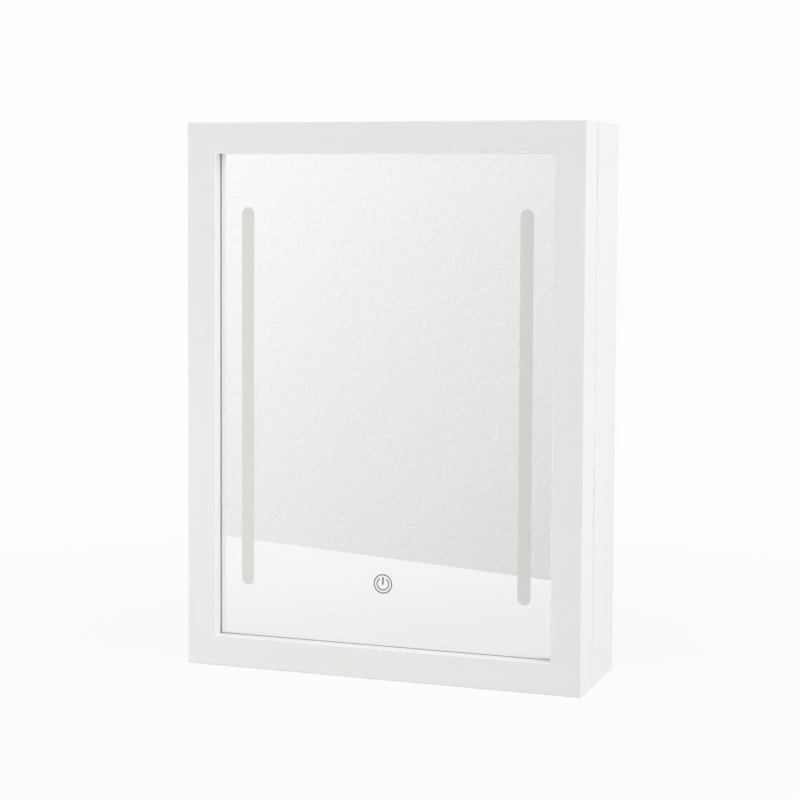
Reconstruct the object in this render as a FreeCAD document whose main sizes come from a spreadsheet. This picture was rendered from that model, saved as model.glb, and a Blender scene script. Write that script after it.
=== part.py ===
import FreeCAD, Part
import math
import os
import re
import Sketcher

# Bathroom mirror cabinet: a shallow carcass with shelves and one deep, box-built door that carries a
# recessed mirror with two lit windows. Millimetres, +Z up, the mirror faces -Y, X = 0 is the middle of
# the width, Y = 0 the middle of the depth and Z = 0 the underside.

doc = FreeCAD.newDocument("MirrorCabinet")
sheet = doc.addObject("Spreadsheet::Sheet", "Sizes")

sizes = {
    # Cabinet as a whole
    "cabinet_width": 450,
    "cabinet_height": 600,
    "cabinet_depth": 140,
    "board_thickness": 12,
    "edge_round": 1.5,
    # Cuts run this far past the face that they open
    "overrun": 2,
    # Door
    "door_thickness": 47,
    "door_gap": 1,
    "frame_face_width": 34,
    "door_rim": 3,
    # Thin back panels of the carcass and of the door, held in grooves
    "panel_thickness": 3,
    "groove_depth": 4,
    "panel_fit": 0.1,
    "panel_edge_gap": 0.5,
    # Hanging rail behind the carcass back
    "rail_height": 60,
    "wall_hole_radius": 3,
    "wall_hole_spacing": 320,
    "screw_head_room": 3,
    # Shelves and their pins
    "shelf_thickness": 12,
    "shelf_setback": 4,
    "shelf_side_gap": 0.5,
    "shelf_rear_gap": 2,
    "lower_shelf_height": 190,
    "upper_shelf_height": 390,
    "shelf_pin_radius": 2.5,
    "shelf_pin_length": 16,
    "shelf_pin_chamfer": 0.6,
    "pin_hole_depth": 8,
    "pin_hole_pitch": 32,
    "pin_inset": 14,
    # Dowels and cam fittings of the board joints
    "joint_fit": 0.05,
    "dowel_radius": 3,
    "dowel_length": 30,
    "dowel_side_depth": 8,
    "dowel_inset": 20,
    "dowel_chamfer": 0.8,
    "door_dowel_inset": 8,
    "door_dowel_gap": 6,
    "rail_dowel_pitch": 30,
    "cam_radius": 7.5,
    "cam_height": 9,
    "cam_setback": 24,
    "cam_bolt_radius": 2.5,
    "cam_neck_radius": 1.6,
    "cam_head_radius": 3.2,
    "cam_head_length": 3,
    "cam_neck_length": 5,
    # Butt hinges in the seam
    "hinge_height": 50,
    "hinge_inset": 100,
    "hinge_leaf_width": 11,
    "hinge_leaf_thickness": 1.2,
    "hinge_leaf_gap": 0.2,
    "hinge_barrel_radius": 2.5,
    "hinge_pin_radius": 1.5,
    "hinge_pin_fit": 0.05,
    "hinge_pin_head_height": 1.2,
    "hinge_relief": 0.3,
    "knuckle_gap": 0.2,
    "hinge_screw_setback": 5.5,
    "hinge_screw_pitch": 18,
    "hinge_screw_length": 13,
    "hinge_screw_radius": 1.4,
    "hinge_screw_head_radius": 2.5,
    "hinge_screw_head_height": 1.1,
    "screw_tip_length": 2,
    # Mirror and how it is held
    "glass_thickness": 4,
    "silver_thickness": 0.3,
    "mirror_margin": 12,
    "tape_thickness": 2,
    "tape_setback": 2,
    "window_width": 14.5,
    "window_side_margin": 25.25,
    "window_foot_margin": 56,
    "window_head_margin": 58,
    "clip_thickness": 1,
    "clip_width": 14,
    "clip_wall_gap": 1.5,
    "clip_edge_gap": 1.5,
    "clip_lip": 7,
    "side_clip_spacing": 320,
    "end_clip_spacing": 200,
    "clip_screw_length": 9,
    "clip_screw_radius": 1.4,
    "clip_screw_head_radius": 2.6,
    "clip_screw_head_height": 1.4,
    # Lights behind the windows
    "channel_width": 20,
    "channel_depth": 10,
    "channel_wall": 1.2,
    "channel_overlap": 6,
    "channel_ledge": 1,
    "ledge_thickness": 0.8,
    "diffuser_thickness": 1.5,
    "diffuser_fit": 0.1,
    "led_board_width": 10,
    "led_board_thickness": 1,
    "led_board_end_gap": 5,
    "led_size": 5,
    "led_height": 1.4,
    # Touch sensor behind the symbol
    "touch_height": 102,
    "sensor_width": 40,
    "sensor_height": 28,
    "sensor_depth": 10,
    "sensor_wall": 1.5,
    "sensor_round": 2,
    "sensor_board_thickness": 1.2,
    "sensor_board_fit": 0.2,
    # Battery tray in the door's back, its cells, contacts and sliding cover
    "battery_height": 260,
    "cell_radius": 7.1,
    "cell_length": 49,
    "cell_nub_radius": 2.7,
    "cell_nub_height": 1.4,
    "cell_edge": 0.8,
    "cell_gap": 0.8,
    "cell_room": 0.3,
    "contact_room": 3,
    "contact_thickness": 0.4,
    "contact_width": 9,
    "contact_dome_radius": 3.2,
    "contact_tip_radius": 1.2,
    "contact_gap": 0.1,
    "tray_wall": 1.5,
    "tray_fit": 0.3,
    "flange_width": 5,
    "flange_thickness": 1.2,
    "cover_thickness": 1.8,
    "cover_fit": 0.2,
    "cover_rib_height": 0.8,
    "cover_rib_width": 1.6,
    "cover_rib_pitch": 4,
    "cover_rib_length": 24,
    "guide_wall": 1.5,
    "guide_lip": 1.5,
    "guide_lip_thickness": 1.2,
    # Leads inside the door
    "lead_radius": 1.2,
    "lead_bend": 15,
    "lead_drop": 22,
    "lead_inset": 8,
    "lead_entry": 2,
    "battery_lead_bend": 20,
    "battery_lead_run": 36,
    # Push latch, its strike and the bumpers
    "latch_height": 296,
    "latch_width": 16,
    "latch_body_height": 15,
    "latch_round": 2,
    "latch_setback": 3,
    "latch_end_wall": 3,
    "latch_flange_thickness": 2.5,
    "latch_flange_height": 34,
    "latch_flange_length": 22,
    "latch_screw_spacing": 25,
    "latch_screw_length": 9,
    "latch_screw_radius": 1.4,
    "latch_screw_head_radius": 2.6,
    "latch_screw_head_height": 1.2,
    "plunger_radius": 4,
    "plunger_fit": 0.1,
    "plunger_length": 30,
    "plunger_edge": 0.6,
    "magnet_radius": 3,
    "magnet_length": 4,
    "strike_radius": 8,
    "strike_thickness": 1,
    "strike_edge": 0.3,
    "latch_tip_gap": 0.3,
    "spring_length": 12,
    "spring_radius": 2.6,
    "spring_wire_radius": 0.35,
    "bumper_radius": 3,
    "bumper_thickness": 0.7,
    "bumper_edge": 0.2,
    "bumper_inset": 30,
}

# Places that several pieces share, each worked out from the sizes above
places = {
    "door_front": "-cabinet_depth / 2",
    "wall_front": "door_front + board_thickness",
    "door_rear": "door_front + door_thickness",
    "wall_depth": "door_thickness - board_thickness",
    "seam_middle": "door_rear + door_gap / 2",
    "carcass_front": "door_rear + door_gap",
    "carcass_depth": "cabinet_depth - door_thickness - door_gap",
    "inner_width": "cabinet_width - 2 * board_thickness",
    "inner_height": "cabinet_height - 2 * board_thickness",
    "groove_end": "board_thickness - groove_depth",
    "back_panel_start": "carcass_depth - board_thickness - panel_thickness",
    "door_panel_start": "wall_depth - door_rim - panel_thickness",
    "door_panel_rear": "door_rear - door_rim",
    "panel_overlap": "groove_depth - panel_edge_gap",
    "shelf_depth": "back_panel_start - shelf_setback - shelf_rear_gap",
    "front_pin_row": "shelf_setback + pin_inset",
    "pin_row_spacing": "shelf_depth - 2 * pin_inset",
    "shelf_spacing": "upper_shelf_height - lower_shelf_height",
    "dowel_board_depth": "dowel_length - dowel_side_depth",
    "door_dowel_pitch": "2 * dowel_radius + door_dowel_gap",
    "rail_middle": "cabinet_height - board_thickness - rail_height / 2",
    "leaf_inset": "hinge_leaf_thickness - (door_gap - hinge_leaf_gap) / 2",
    "lower_hinge_foot": "hinge_inset - hinge_height / 2",
    "hinge_spacing": "cabinet_height - 2 * hinge_inset",
    "knuckle_height": "hinge_height / 5",
    "opening_width": "cabinet_width - 2 * frame_face_width",
    "opening_height": "cabinet_height - 2 * frame_face_width",
    "mirror_front": "wall_front + tape_thickness",
    "silver_front": "mirror_front + glass_thickness",
    "mirror_rear": "silver_front + silver_thickness",
    "mirror_width": "inner_width - 2 * mirror_margin",
    "mirror_height": "inner_height - 2 * mirror_margin",
    "mirror_foot": "board_thickness + mirror_margin",
    "window_length": "opening_height - window_foot_margin - window_head_margin",
    "window_spacing": "opening_width - 2 * window_side_margin - window_width",
    "window_height": "frame_face_width + window_foot_margin + window_length / 2",
    "channel_length": "window_length + 2 * channel_overlap",
    "channel_foot": "window_height - channel_length / 2",
    "lead_line": "mirror_rear + channel_depth - channel_wall - lead_radius - joint_fit",
    "cell_pitch": "2 * cell_radius + cell_gap",
    "tray_width": "4 * cell_pitch + 2 * tray_wall",
    "cell_bay": "cell_length + cell_nub_height + 2 * contact_room",
    "tray_height": "cell_bay + 2 * tray_wall",
    "tray_depth": "2 * cell_radius + 2 * cell_room",
    "flange_half_width": "tray_width / 2 + flange_width",
    "flange_half_height": "tray_height / 2 + flange_width",
    "guide_half_width": "flange_half_width - guide_wall",
    "guide_depth": "cover_thickness + 2 * cover_fit",
    "cover_foot": "guide_wall + cover_fit - flange_half_height",
    "plunger_tip": "door_panel_rear + strike_thickness + latch_tip_gap",
    "latch_front": "carcass_front + latch_setback",
    "spring_front": "plunger_tip + plunger_length",
    "latch_bore": "spring_front + spring_length - latch_front",
    "plunger_line": "cabinet_width / 2 - board_thickness - latch_width / 2",
}

for row, (alias, size) in enumerate(sizes.items(), start=1):
    sheet.set(f"A{row}", alias.replace("_", " "))
    sheet.set(f"B{row}", str(size))
    sheet.setAlias(f"B{row}", alias)
doc.recompute()

WORD = re.compile(r"[a-z_]+")


def formula(text):
    """The text with each place spelled out and each size read from its cell in the sheet."""

    def spell(match):
        word = match.group(0)
        if word in places:
            return "(" + formula(places[word]) + ")"
        return "Sizes." + word

    return WORD.sub(spell, text)


def number(text):
    """The value of a formula at the sheet's present sizes."""
    return float(sheet.evalExpression(formula(text)))


def bind(thing, member, text):
    """Ties one property of a document object to a formula of the sheet's cells."""
    thing.setExpression(member, formula(text))


def pin_down(drawing, geometry, end, x, y):
    """Holds one point of a sketch at a place measured from the sketch's origin."""
    for kind, text, axis in (("DistanceX", x, -2), ("DistanceY", y, -1)):
        distance = number(text)
        if distance == 0:
            drawing.addConstraint(Sketcher.Constraint("PointOnObject", geometry, end, axis))
        else:
            index = drawing.addConstraint(Sketcher.Constraint(kind, -1, 1, geometry, end, distance))
            bind(drawing, f"Constraints[{index}]", text)


def hold_radius(drawing, geometry, radius):
    index = drawing.addConstraint(Sketcher.Constraint("Radius", geometry, number(radius)))
    bind(drawing, f"Constraints[{index}]", radius)


def outline(points):
    """A closed loop of straight edges through the given points."""

    def draw(drawing):
        corners = [FreeCAD.Vector(number(x), number(y), 0) for x, y in points]
        first = drawing.GeometryCount
        count = len(points)
        for index, corner in enumerate(corners):
            drawing.addGeometry(Part.LineSegment(corner, corners[(index + 1) % count]), False)
        for index, (x, y) in enumerate(points):
            edge = first + index
            drawing.addConstraint(
                Sketcher.Constraint("Coincident", edge, 2, first + (index + 1) % count, 1)
            )
            pin_down(drawing, edge, 1, x, y)

    return draw


def rectangle(left, right, low, high):
    return outline([(left, low), (right, low), (right, high), (left, high)])


def centred(width, height, x="0", y="0"):
    """A rectangle about the point x, y."""
    return rectangle(
        f"{x} - ({width}) / 2", f"{x} + ({width}) / 2", f"{y} - ({height}) / 2", f"{y} + ({height}) / 2"
    )


def disc(x, y, radius):
    def draw(drawing):
        centre = FreeCAD.Vector(number(x), number(y), 0)
        circle = drawing.addGeometry(
            Part.Circle(centre, FreeCAD.Vector(0, 0, 1), number(radius)), False
        )
        pin_down(drawing, circle, 3, x, y)
        hold_radius(drawing, circle, radius)

    return draw


def stadium(x, y, width, length):
    """An upright slot with half-round ends about the point x, y."""

    def draw(drawing):
        radius = f"({width}) / 2"
        top = f"{y} + (({length}) - ({width})) / 2"
        bottom = f"{y} - (({length}) - ({width})) / 2"
        arcs = []
        for end, start in ((top, 0), (bottom, math.pi)):
            centre = FreeCAD.Vector(number(x), number(end), 0)
            circle = Part.Circle(centre, FreeCAD.Vector(0, 0, 1), number(radius))
            arc = drawing.addGeometry(Part.ArcOfCircle(circle, start, start + math.pi), False)
            pin_down(drawing, arc, 3, x, end)
            hold_radius(drawing, arc, radius)
            arcs.append(arc)
        for first, second in (arcs, arcs[::-1]):
            side = drawing.addGeometry(
                Part.LineSegment(
                    drawing.getPoint(first, 2), drawing.getPoint(second, 1)
                ),
                False,
            )
            drawing.addConstraint(Sketcher.Constraint("Tangent", first, 2, side, 1))
            drawing.addConstraint(Sketcher.Constraint("Tangent", side, 2, second, 1))

    return draw


class Piece:
    """One body of the cabinet, built up feature by feature from its own corner or axis."""

    made = []

    def __init__(self, label, x="0", y="0", z="0"):
        self.body = doc.addObject("PartDesign::Body", label)
        self.body.Label = label
        self.cuts = []
        for axis, text in (("x", x), ("y", y), ("z", z)):
            bind(self.body, f"Placement.Base.{axis}", text)
        Piece.made.append(self)

    def origin(self, role):
        return next(item for item in self.body.Origin.OriginFeatures if item.Role == role)

    def sketch(self, plane, offset, loops):
        """A sketch on one of the body's own planes, shifted by offset along X, Y and Z."""
        drawing = self.body.newObject("Sketcher::SketchObject", self.body.Label + "_sketch")
        drawing.AttachmentSupport = [(self.origin(plane + "_Plane"), "")]
        drawing.MapMode = "FlatFace"
        x, y, z = offset
        shifts = {"XY": (x, y, z), "XZ": (x, z, f"-({y})"), "YZ": (y, z, x)}[plane]
        for axis, text in zip("xyz", shifts):
            if text not in ("0", "-(0)"):
                bind(drawing, f"AttachmentOffset.Base.{axis}", text)
        for draw in loops:
            draw(drawing)
        return drawing

    def extrude(self, kind, plane, start, length, loops):
        """Carries the loops from start, square to the plane, towards the positive axis."""
        offset = {"XY": ("0", "0", start), "XZ": ("0", start, "0"), "YZ": (start, "0", "0")}[plane]
        feature = self.body.newObject("PartDesign::" + kind, f"{self.body.Label}_{kind}")
        feature.Profile = self.sketch(plane, offset, loops)
        feature.Reversed = (plane == "XZ") == (kind == "Pad")
        bind(feature, "Length", length)
        self.body.Tip = feature
        return feature

    def add(self, plane, start, length, *loops):
        return self.extrude("Pad", plane, start, length, loops)

    def cut(self, plane, start, length, *loops):
        before = self.body.Tip
        feature = self.extrude("Pocket", plane, start, length, loops)
        self.cuts.append((before, feature))
        return feature

    def revolve(self, kind, axis, at, profile):
        """Turns a profile of (along, radius) pairs about an axis through the point at."""
        plane = "XZ" if axis == "Z" else "XY"
        if axis == "X":
            points = profile
        else:
            points = [(radius, along) for along, radius in profile]
        feature = self.body.newObject("PartDesign::" + kind, f"{self.body.Label}_{kind}")
        drawing = self.sketch(plane, at, [outline(points)])
        feature.Profile = drawing
        feature.ReferenceAxis = (drawing, ["H_Axis" if axis == "X" else "V_Axis"])
        feature.Angle = 360
        self.body.Tip = feature
        return feature

    def turn(self, axis, at, profile):
        return self.revolve("Revolution", axis, at, profile)

    def bore(self, axis, at, profile):
        before = self.body.Tip
        feature = self.revolve("Groove", axis, at, profile)
        self.cuts.append((before, feature))
        return feature

    def repeat(self, axis, spacing, count, features=None):
        """Copies the given features, or everything made so far, along an axis."""
        doc.recompute()
        pattern = self.body.newObject("PartDesign::LinearPattern", self.body.Label + "_row")
        if features:
            pattern.Originals = features
        else:
            pattern.TransformMode = "Whole shape"
        pattern.Direction = (self.origin(axis + "_Axis"), [""])
        pattern.Occurrences = count
        bind(pattern, "Length", f"({spacing}) * {count - 1}")
        self.body.Tip = pattern

    def mirror(self, plane):
        """Copies everything made so far across one of the body's planes."""
        doc.recompute()
        twin = self.body.newObject("PartDesign::Mirrored", self.body.Label + "_mirror")
        twin.TransformMode = "Whole shape"
        twin.MirrorPlane = (self.origin(plane + "_Plane"), [""])
        self.body.Tip = twin

    def ease(self, radius, chosen):
        """Rounds the edges for which chosen says yes."""
        doc.recompute()
        base = self.body.Tip
        names = [f"Edge{i}" for i, edge in enumerate(base.Shape.Edges, start=1) if chosen(edge)]
        feature = self.body.newObject("PartDesign::Fillet", self.body.Label + "_round")
        feature.Base = (base, names)
        bind(feature, "Radius", radius)
        self.body.Tip = feature


def in_plane(axis, level):
    """A test for edges that lie wholly at one level of an axis."""
    slack = number("overrun") / 1000
    return lambda edge: all(abs(getattr(v, axis) - level) < slack for v in edge.Vertexes)


def along(axis):
    """A test for straight edges that run along an axis."""
    slack = number("overrun") / 1000

    def chosen(edge):
        first, last = edge.Vertexes[0].Point, edge.Vertexes[-1].Point
        run = last - first
        others = [name for name in "xyz" if name != axis]
        return abs(getattr(run, axis)) > slack and all(abs(getattr(run, o)) < slack for o in others)

    return chosen


nodes = []


def node(piece):
    """Marks a piece as one that is written to a file of its own."""
    nodes.append(piece.body)
    return piece


def group(label, *pieces):
    """Loose pieces that are counted and written as one set."""
    together = doc.addObject("Part::Compound", label)
    together.Label = label
    together.Links = [piece.body for piece in pieces]
    nodes.append(together)


# Dowels, pins and screws


def dowel_profile(start):
    """A plain dowel from start, with both ends chamfered."""
    end = f"{start} + dowel_length"
    return [
        (start, "0"),
        (end, "0"),
        (end, "dowel_radius - dowel_chamfer"),
        (f"{end} - dowel_chamfer", "dowel_radius"),
        (f"{start} + dowel_chamfer", "dowel_radius"),
        (start, "dowel_radius - dowel_chamfer"),
    ]


def sunk_screw_profile(name, start, way):
    """A countersunk screw whose head is flush with start and whose point lies way from it."""
    return [
        (start, "0"),
        (start, f"{name}_head_radius"),
        (f"{start} + {way} * {name}_head_height", f"{name}_radius"),
        (f"{start} + {way} * ({name}_length - screw_tip_length)", f"{name}_radius"),
        (f"{start} + {way} * {name}_length", "0"),
    ]


def sunk_hole_profile(name, start, way, depth):
    """The hole that a countersunk screw sits in, with the joint's clearance all round."""
    return [
        (start, "0"),
        (start, f"{name}_head_radius + joint_fit"),
        (f"{start} + {way} * {name}_head_height", f"{name}_radius + joint_fit"),
        (f"{start} + {way} * ({depth})", f"{name}_radius + joint_fit"),
        (f"{start} + {way} * ({depth})", "0"),
    ]


def pan_screw_profile(name, start, way):
    """A pan-headed screw: the head stands on start and the point lies way from it."""
    return [
        (f"{start} - {way} * {name}_head_height", "0"),
        (f"{start} - {way} * {name}_head_height", f"{name}_head_radius * 2 / 3"),
        (f"{start} - {way} * {name}_head_height / 3", f"{name}_head_radius"),
        (start, f"{name}_head_radius"),
        (start, f"{name}_radius"),
        (f"{start} + {way} * ({name}_length - screw_tip_length)", f"{name}_radius"),
        (f"{start} + {way} * {name}_length", "0"),
    ]


# Carcass side panels: boards on edge with a stopped groove for the back, rows of shelf-pin holes and
# blind holes for the dowels and cam bolts of the top, the bottom and the hanging rail.


def hinge_seat(piece, edge, way):
    """Mortise, barrel relief and screw holes of both hinges in the edge of a board."""
    floor = f"{edge} + {way} * leaf_inset"
    rim = f"{edge} - {way} * overrun"
    low, high = (rim, floor) if way > 0 else (floor, rim)
    mortise = piece.cut(
        "XY",
        "lower_hinge_foot - joint_fit",
        "hinge_height + 2 * joint_fit",
        rectangle("-overrun", "hinge_leaf_width + joint_fit", low, high),
    )
    piece.repeat("Z", "hinge_spacing", 2, [mortise])
    end_room = "hinge_pin_head_height + hinge_relief"
    relief = piece.cut(
        "XY",
        f"lower_hinge_foot - ({end_room})",
        f"hinge_height + 2 * ({end_room})",
        disc("0", f"{edge} - {way} * door_gap / 2", "hinge_barrel_radius + hinge_relief"),
    )
    piece.repeat("Z", "hinge_spacing", 2, [relief])
    start = edge if way > 0 else f"{edge} - hinge_screw_length"
    holes = [
        disc(
            "hinge_screw_setback",
            f"hinge_inset + {step} * hinge_screw_pitch",
            "hinge_screw_radius + joint_fit",
        )
        for step in (-1, 0, 1)
    ]
    pilots = piece.cut("XZ", start, "hinge_screw_length", *holes)
    piece.repeat("Z", "hinge_spacing", 2, [pilots])


def side_panel(label, x, inner_start):
    panel = node(Piece(label, x, "carcass_front", "0"))
    panel.add(
        "XY", "0", "cabinet_height", rectangle("0", "board_thickness", "0", "carcass_depth")
    )

    def from_inside(depth, *loops):
        if inner_start == "0":
            return panel.cut("YZ", "-overrun", f"{depth} + overrun", *loops)
        return panel.cut("YZ", f"{inner_start} - {depth}", f"{depth} + overrun", *loops)

    from_inside(
        "groove_depth",
        rectangle(
            "back_panel_start - panel_fit",
            "back_panel_start + panel_thickness + panel_fit",
            "groove_end",
            "cabinet_height - groove_end",
        ),
    )
    dowel_holes = [
        disc(y, z, "dowel_radius + joint_fit")
        for y in ("dowel_inset", "carcass_depth - dowel_inset")
        for z in ("board_thickness / 2", "cabinet_height - board_thickness / 2")
    ]
    dowel_holes += [
        disc(
            "carcass_depth - board_thickness / 2",
            f"rail_middle {sign} rail_dowel_pitch / 2",
            "dowel_radius + joint_fit",
        )
        for sign in "+-"
    ]
    from_inside("dowel_side_depth", *dowel_holes)
    from_inside(
        "dowel_side_depth",
        disc("carcass_depth / 2", "board_thickness / 2", "cam_bolt_radius + joint_fit"),
        disc("carcass_depth / 2", "cabinet_height - board_thickness / 2", "cam_bolt_radius + joint_fit"),
    )
    pin_holes = [
        disc(y, f"{shelf} - shelf_pin_radius + {step} * pin_hole_pitch", "shelf_pin_radius + joint_fit")
        for y in ("front_pin_row", "front_pin_row + pin_row_spacing")
        for shelf in ("lower_shelf_height", "upper_shelf_height")
        for step in (-1, 0, 1)
    ]
    from_inside("pin_hole_depth", *pin_holes)
    return panel


left_side = side_panel("left_side_panel", "-cabinet_width / 2", "board_thickness")
hinge_seat(left_side, "0", 1)
right_side = side_panel("right_side_panel", "cabinet_width / 2 - board_thickness", "0")
right_side.cut(
    "YZ",
    "-overrun",
    "latch_screw_length - latch_flange_thickness + overrun",
    *[
        disc(
            "latch_setback + latch_flange_length / 2",
            f"latch_height {sign} latch_screw_spacing / 2",
            "latch_screw_radius + joint_fit",
        )
        for sign in "+-"
    ],
)

# Top and bottom panels between the sides, grooved on their inner faces, with dowel holes in both ends
# and round seats for the cam locks.


def cross_panel(label, z, inner_low):
    panel = node(Piece(label, "-inner_width / 2", "carcass_front", z))
    panel.add(
        "YZ", "0", "inner_width", rectangle("0", "carcass_depth", "0", "board_thickness")
    )

    def from_inside(depth, *loops):
        if inner_low:
            return panel.cut("XY", "-overrun", f"{depth} + overrun", *loops)
        return panel.cut("XY", f"board_thickness - {depth}", f"{depth} + overrun", *loops)

    from_inside(
        "groove_depth",
        rectangle(
            "-overrun",
            "inner_width + overrun",
            "back_panel_start - panel_fit",
            "back_panel_start + panel_thickness + panel_fit",
        ),
    )
    ends = [
        disc(y, "board_thickness / 2", "dowel_radius + joint_fit")
        for y in ("dowel_inset", "carcass_depth - dowel_inset")
    ]
    panel.cut("YZ", "-overrun", "dowel_board_depth + joint_fit + overrun", *ends)
    panel.cut(
        "YZ",
        "inner_width - dowel_board_depth - joint_fit",
        "dowel_board_depth + joint_fit + overrun",
        *ends,
    )
    bolt_way = disc("carcass_depth / 2", "board_thickness / 2", "cam_head_radius + joint_fit")
    panel.cut("YZ", "-overrun", "cam_setback + overrun", bolt_way)
    panel.cut("YZ", "inner_width - cam_setback", "cam_setback + overrun", bolt_way)
    from_inside(
        "cam_height",
        disc("cam_setback", "carcass_depth / 2", "cam_radius + joint_fit"),
        disc("inner_width - cam_setback", "carcass_depth / 2", "cam_radius + joint_fit"),
    )


cross_panel("bottom_panel", "0", False)
cross_panel("top_panel", "cabinet_height - board_thickness", True)

# Back panel: thin board held in the grooves, with two holes that let a screwdriver reach the rail.
back = node(
    Piece(
        "back_panel",
        "0",
        "carcass_front + back_panel_start",
        "cabinet_height / 2",
    )
)
back.add(
    "XZ",
    "0",
    "panel_thickness",
    centred("inner_width + 2 * panel_overlap", "inner_height + 2 * panel_overlap"),
    *[
        disc(
            f"{sign} wall_hole_spacing / 2",
            "rail_middle - cabinet_height / 2",
            "wall_hole_radius + screw_head_room",
        )
        for sign in ("", "-")
    ],
)

# Hanging rail: stiff board across the rear, under the top, drilled for the two wall screws.
rail = node(
    Piece("hanging_rail", "0", "cabinet_depth / 2 - board_thickness", "rail_middle")
)
rail.add(
    "XZ",
    "0",
    "board_thickness",
    centred("inner_width", "rail_height"),
    disc("wall_hole_spacing / 2", "0", "wall_hole_radius"),
    disc("-wall_hole_spacing / 2", "0", "wall_hole_radius"),
)
rail_ends = [
    disc("board_thickness / 2", f"{sign}rail_dowel_pitch / 2", "dowel_radius + joint_fit")
    for sign in ("", "-")
]
rail.cut(
    "YZ",
    "-inner_width / 2 - overrun",
    "dowel_board_depth + joint_fit + overrun",
    *rail_ends,
)
rail.cut(
    "YZ",
    "inner_width / 2 - dowel_board_depth - joint_fit",
    "dowel_board_depth + joint_fit + overrun",
    *rail_ends,
)

# Two shelves that rest on pins, their front edges rounded.
for label, height in (("lower_shelf", "lower_shelf_height"), ("upper_shelf", "upper_shelf_height")):
    shelf = node(
        Piece(label, "shelf_side_gap - inner_width / 2", "carcass_front + shelf_setback", height)
    )
    shelf.add(
        "YZ",
        "0",
        "inner_width - 2 * shelf_side_gap",
        rectangle("0", "shelf_depth", "0", "shelf_thickness"),
    )
    shelf.ease("edge_round", lambda edge: in_plane("Y", 0)(edge) and along("x")(edge))

pins = node(
    Piece("shelf_pins", "0", "carcass_front + front_pin_row", "lower_shelf_height - shelf_pin_radius")
)
pin_start = "-inner_width / 2 - pin_hole_depth"
pin_end = f"{pin_start} + shelf_pin_length"
pins.turn(
    "X",
    ("0", "0", "0"),
    [
        (pin_start, "0"),
        (pin_end, "0"),
        (pin_end, "shelf_pin_radius - shelf_pin_chamfer"),
        (f"{pin_end} - shelf_pin_chamfer", "shelf_pin_radius"),
        (f"{pin_start} + shelf_pin_chamfer", "shelf_pin_radius"),
        (pin_start, "shelf_pin_radius - shelf_pin_chamfer"),
    ],
)
pins.repeat("Y", "pin_row_spacing", 2)
pins.repeat("Z", "shelf_spacing", 2)
pins.mirror("YZ")

# Dowels of the carcass: two in each corner joint and two at each end of the rail.
side_joint = "-inner_width / 2 - dowel_side_depth"
corner_dowels = Piece(
    "corner_dowels", "0", "carcass_front + carcass_depth / 2", "cabinet_height / 2"
)
corner_dowels.turn(
    "X",
    ("0", "dowel_inset - carcass_depth / 2", "board_thickness / 2 - cabinet_height / 2"),
    dowel_profile(side_joint),
)
for plane in ("XZ", "XY", "YZ"):
    corner_dowels.mirror(plane)
rail_dowels = Piece("rail_dowels", "0", "cabinet_depth / 2 - board_thickness / 2", "rail_middle")
rail_dowels.turn("X", ("0", "0", "rail_dowel_pitch / 2"), dowel_profile(side_joint))
for plane in ("XY", "YZ"):
    rail_dowels.mirror(plane)
group("carcass_dowels", corner_dowels, rail_dowels)

# Cam fittings: a headed bolt in each side, drawn in by a slotted cam that turns in the cross panel.
bolt_end = "-inner_width / 2 + cam_setback"
bolt_neck = f"{bolt_end} - cam_head_length - cam_neck_length"
cam_bolts = node(
    Piece("cam_bolts", "0", "carcass_front + carcass_depth / 2", "cabinet_height / 2")
)
cam_bolts.turn(
    "X",
    ("0", "0", "board_thickness / 2 - cabinet_height / 2"),
    [
        (side_joint, "0"),
        (bolt_end, "0"),
        (bolt_end, "cam_head_radius"),
        (f"{bolt_end} - cam_head_length", "cam_head_radius"),
        (f"{bolt_end} - cam_head_length", "cam_neck_radius"),
        (bolt_neck, "cam_neck_radius"),
        (bolt_neck, "cam_bolt_radius"),
        (side_joint, "cam_bolt_radius"),
    ],
)
for plane in ("XY", "YZ"):
    cam_bolts.mirror(plane)

cam_locks = node(
    Piece("cam_locks", "0", "carcass_front + carcass_depth / 2", "cabinet_height / 2")
)
cam_locks.add(
    "XY",
    "board_thickness - cam_height - cabinet_height / 2",
    "cam_height",
    disc(bolt_end, "0", "cam_radius"),
)
cam_locks.cut(
    "XY",
    "board_thickness / 2 - cam_head_radius - joint_fit - cabinet_height / 2",
    "2 * (cam_head_radius + joint_fit)",
    rectangle(
        f"{bolt_end} - cam_radius - overrun",
        f"{bolt_end} + joint_fit",
        "-cam_head_radius - joint_fit",
        "cam_head_radius + joint_fit",
    ),
)
driver_slot = "cam_neck_radius / 2"
cam_locks.cut(
    "XY",
    "board_thickness - cam_neck_radius - cabinet_height / 2",
    "cam_neck_radius + overrun",
    centred("cam_radius", f"2 * {driver_slot}", bolt_end),
)
for plane in ("XY", "YZ"):
    cam_locks.mirror(plane)

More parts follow.
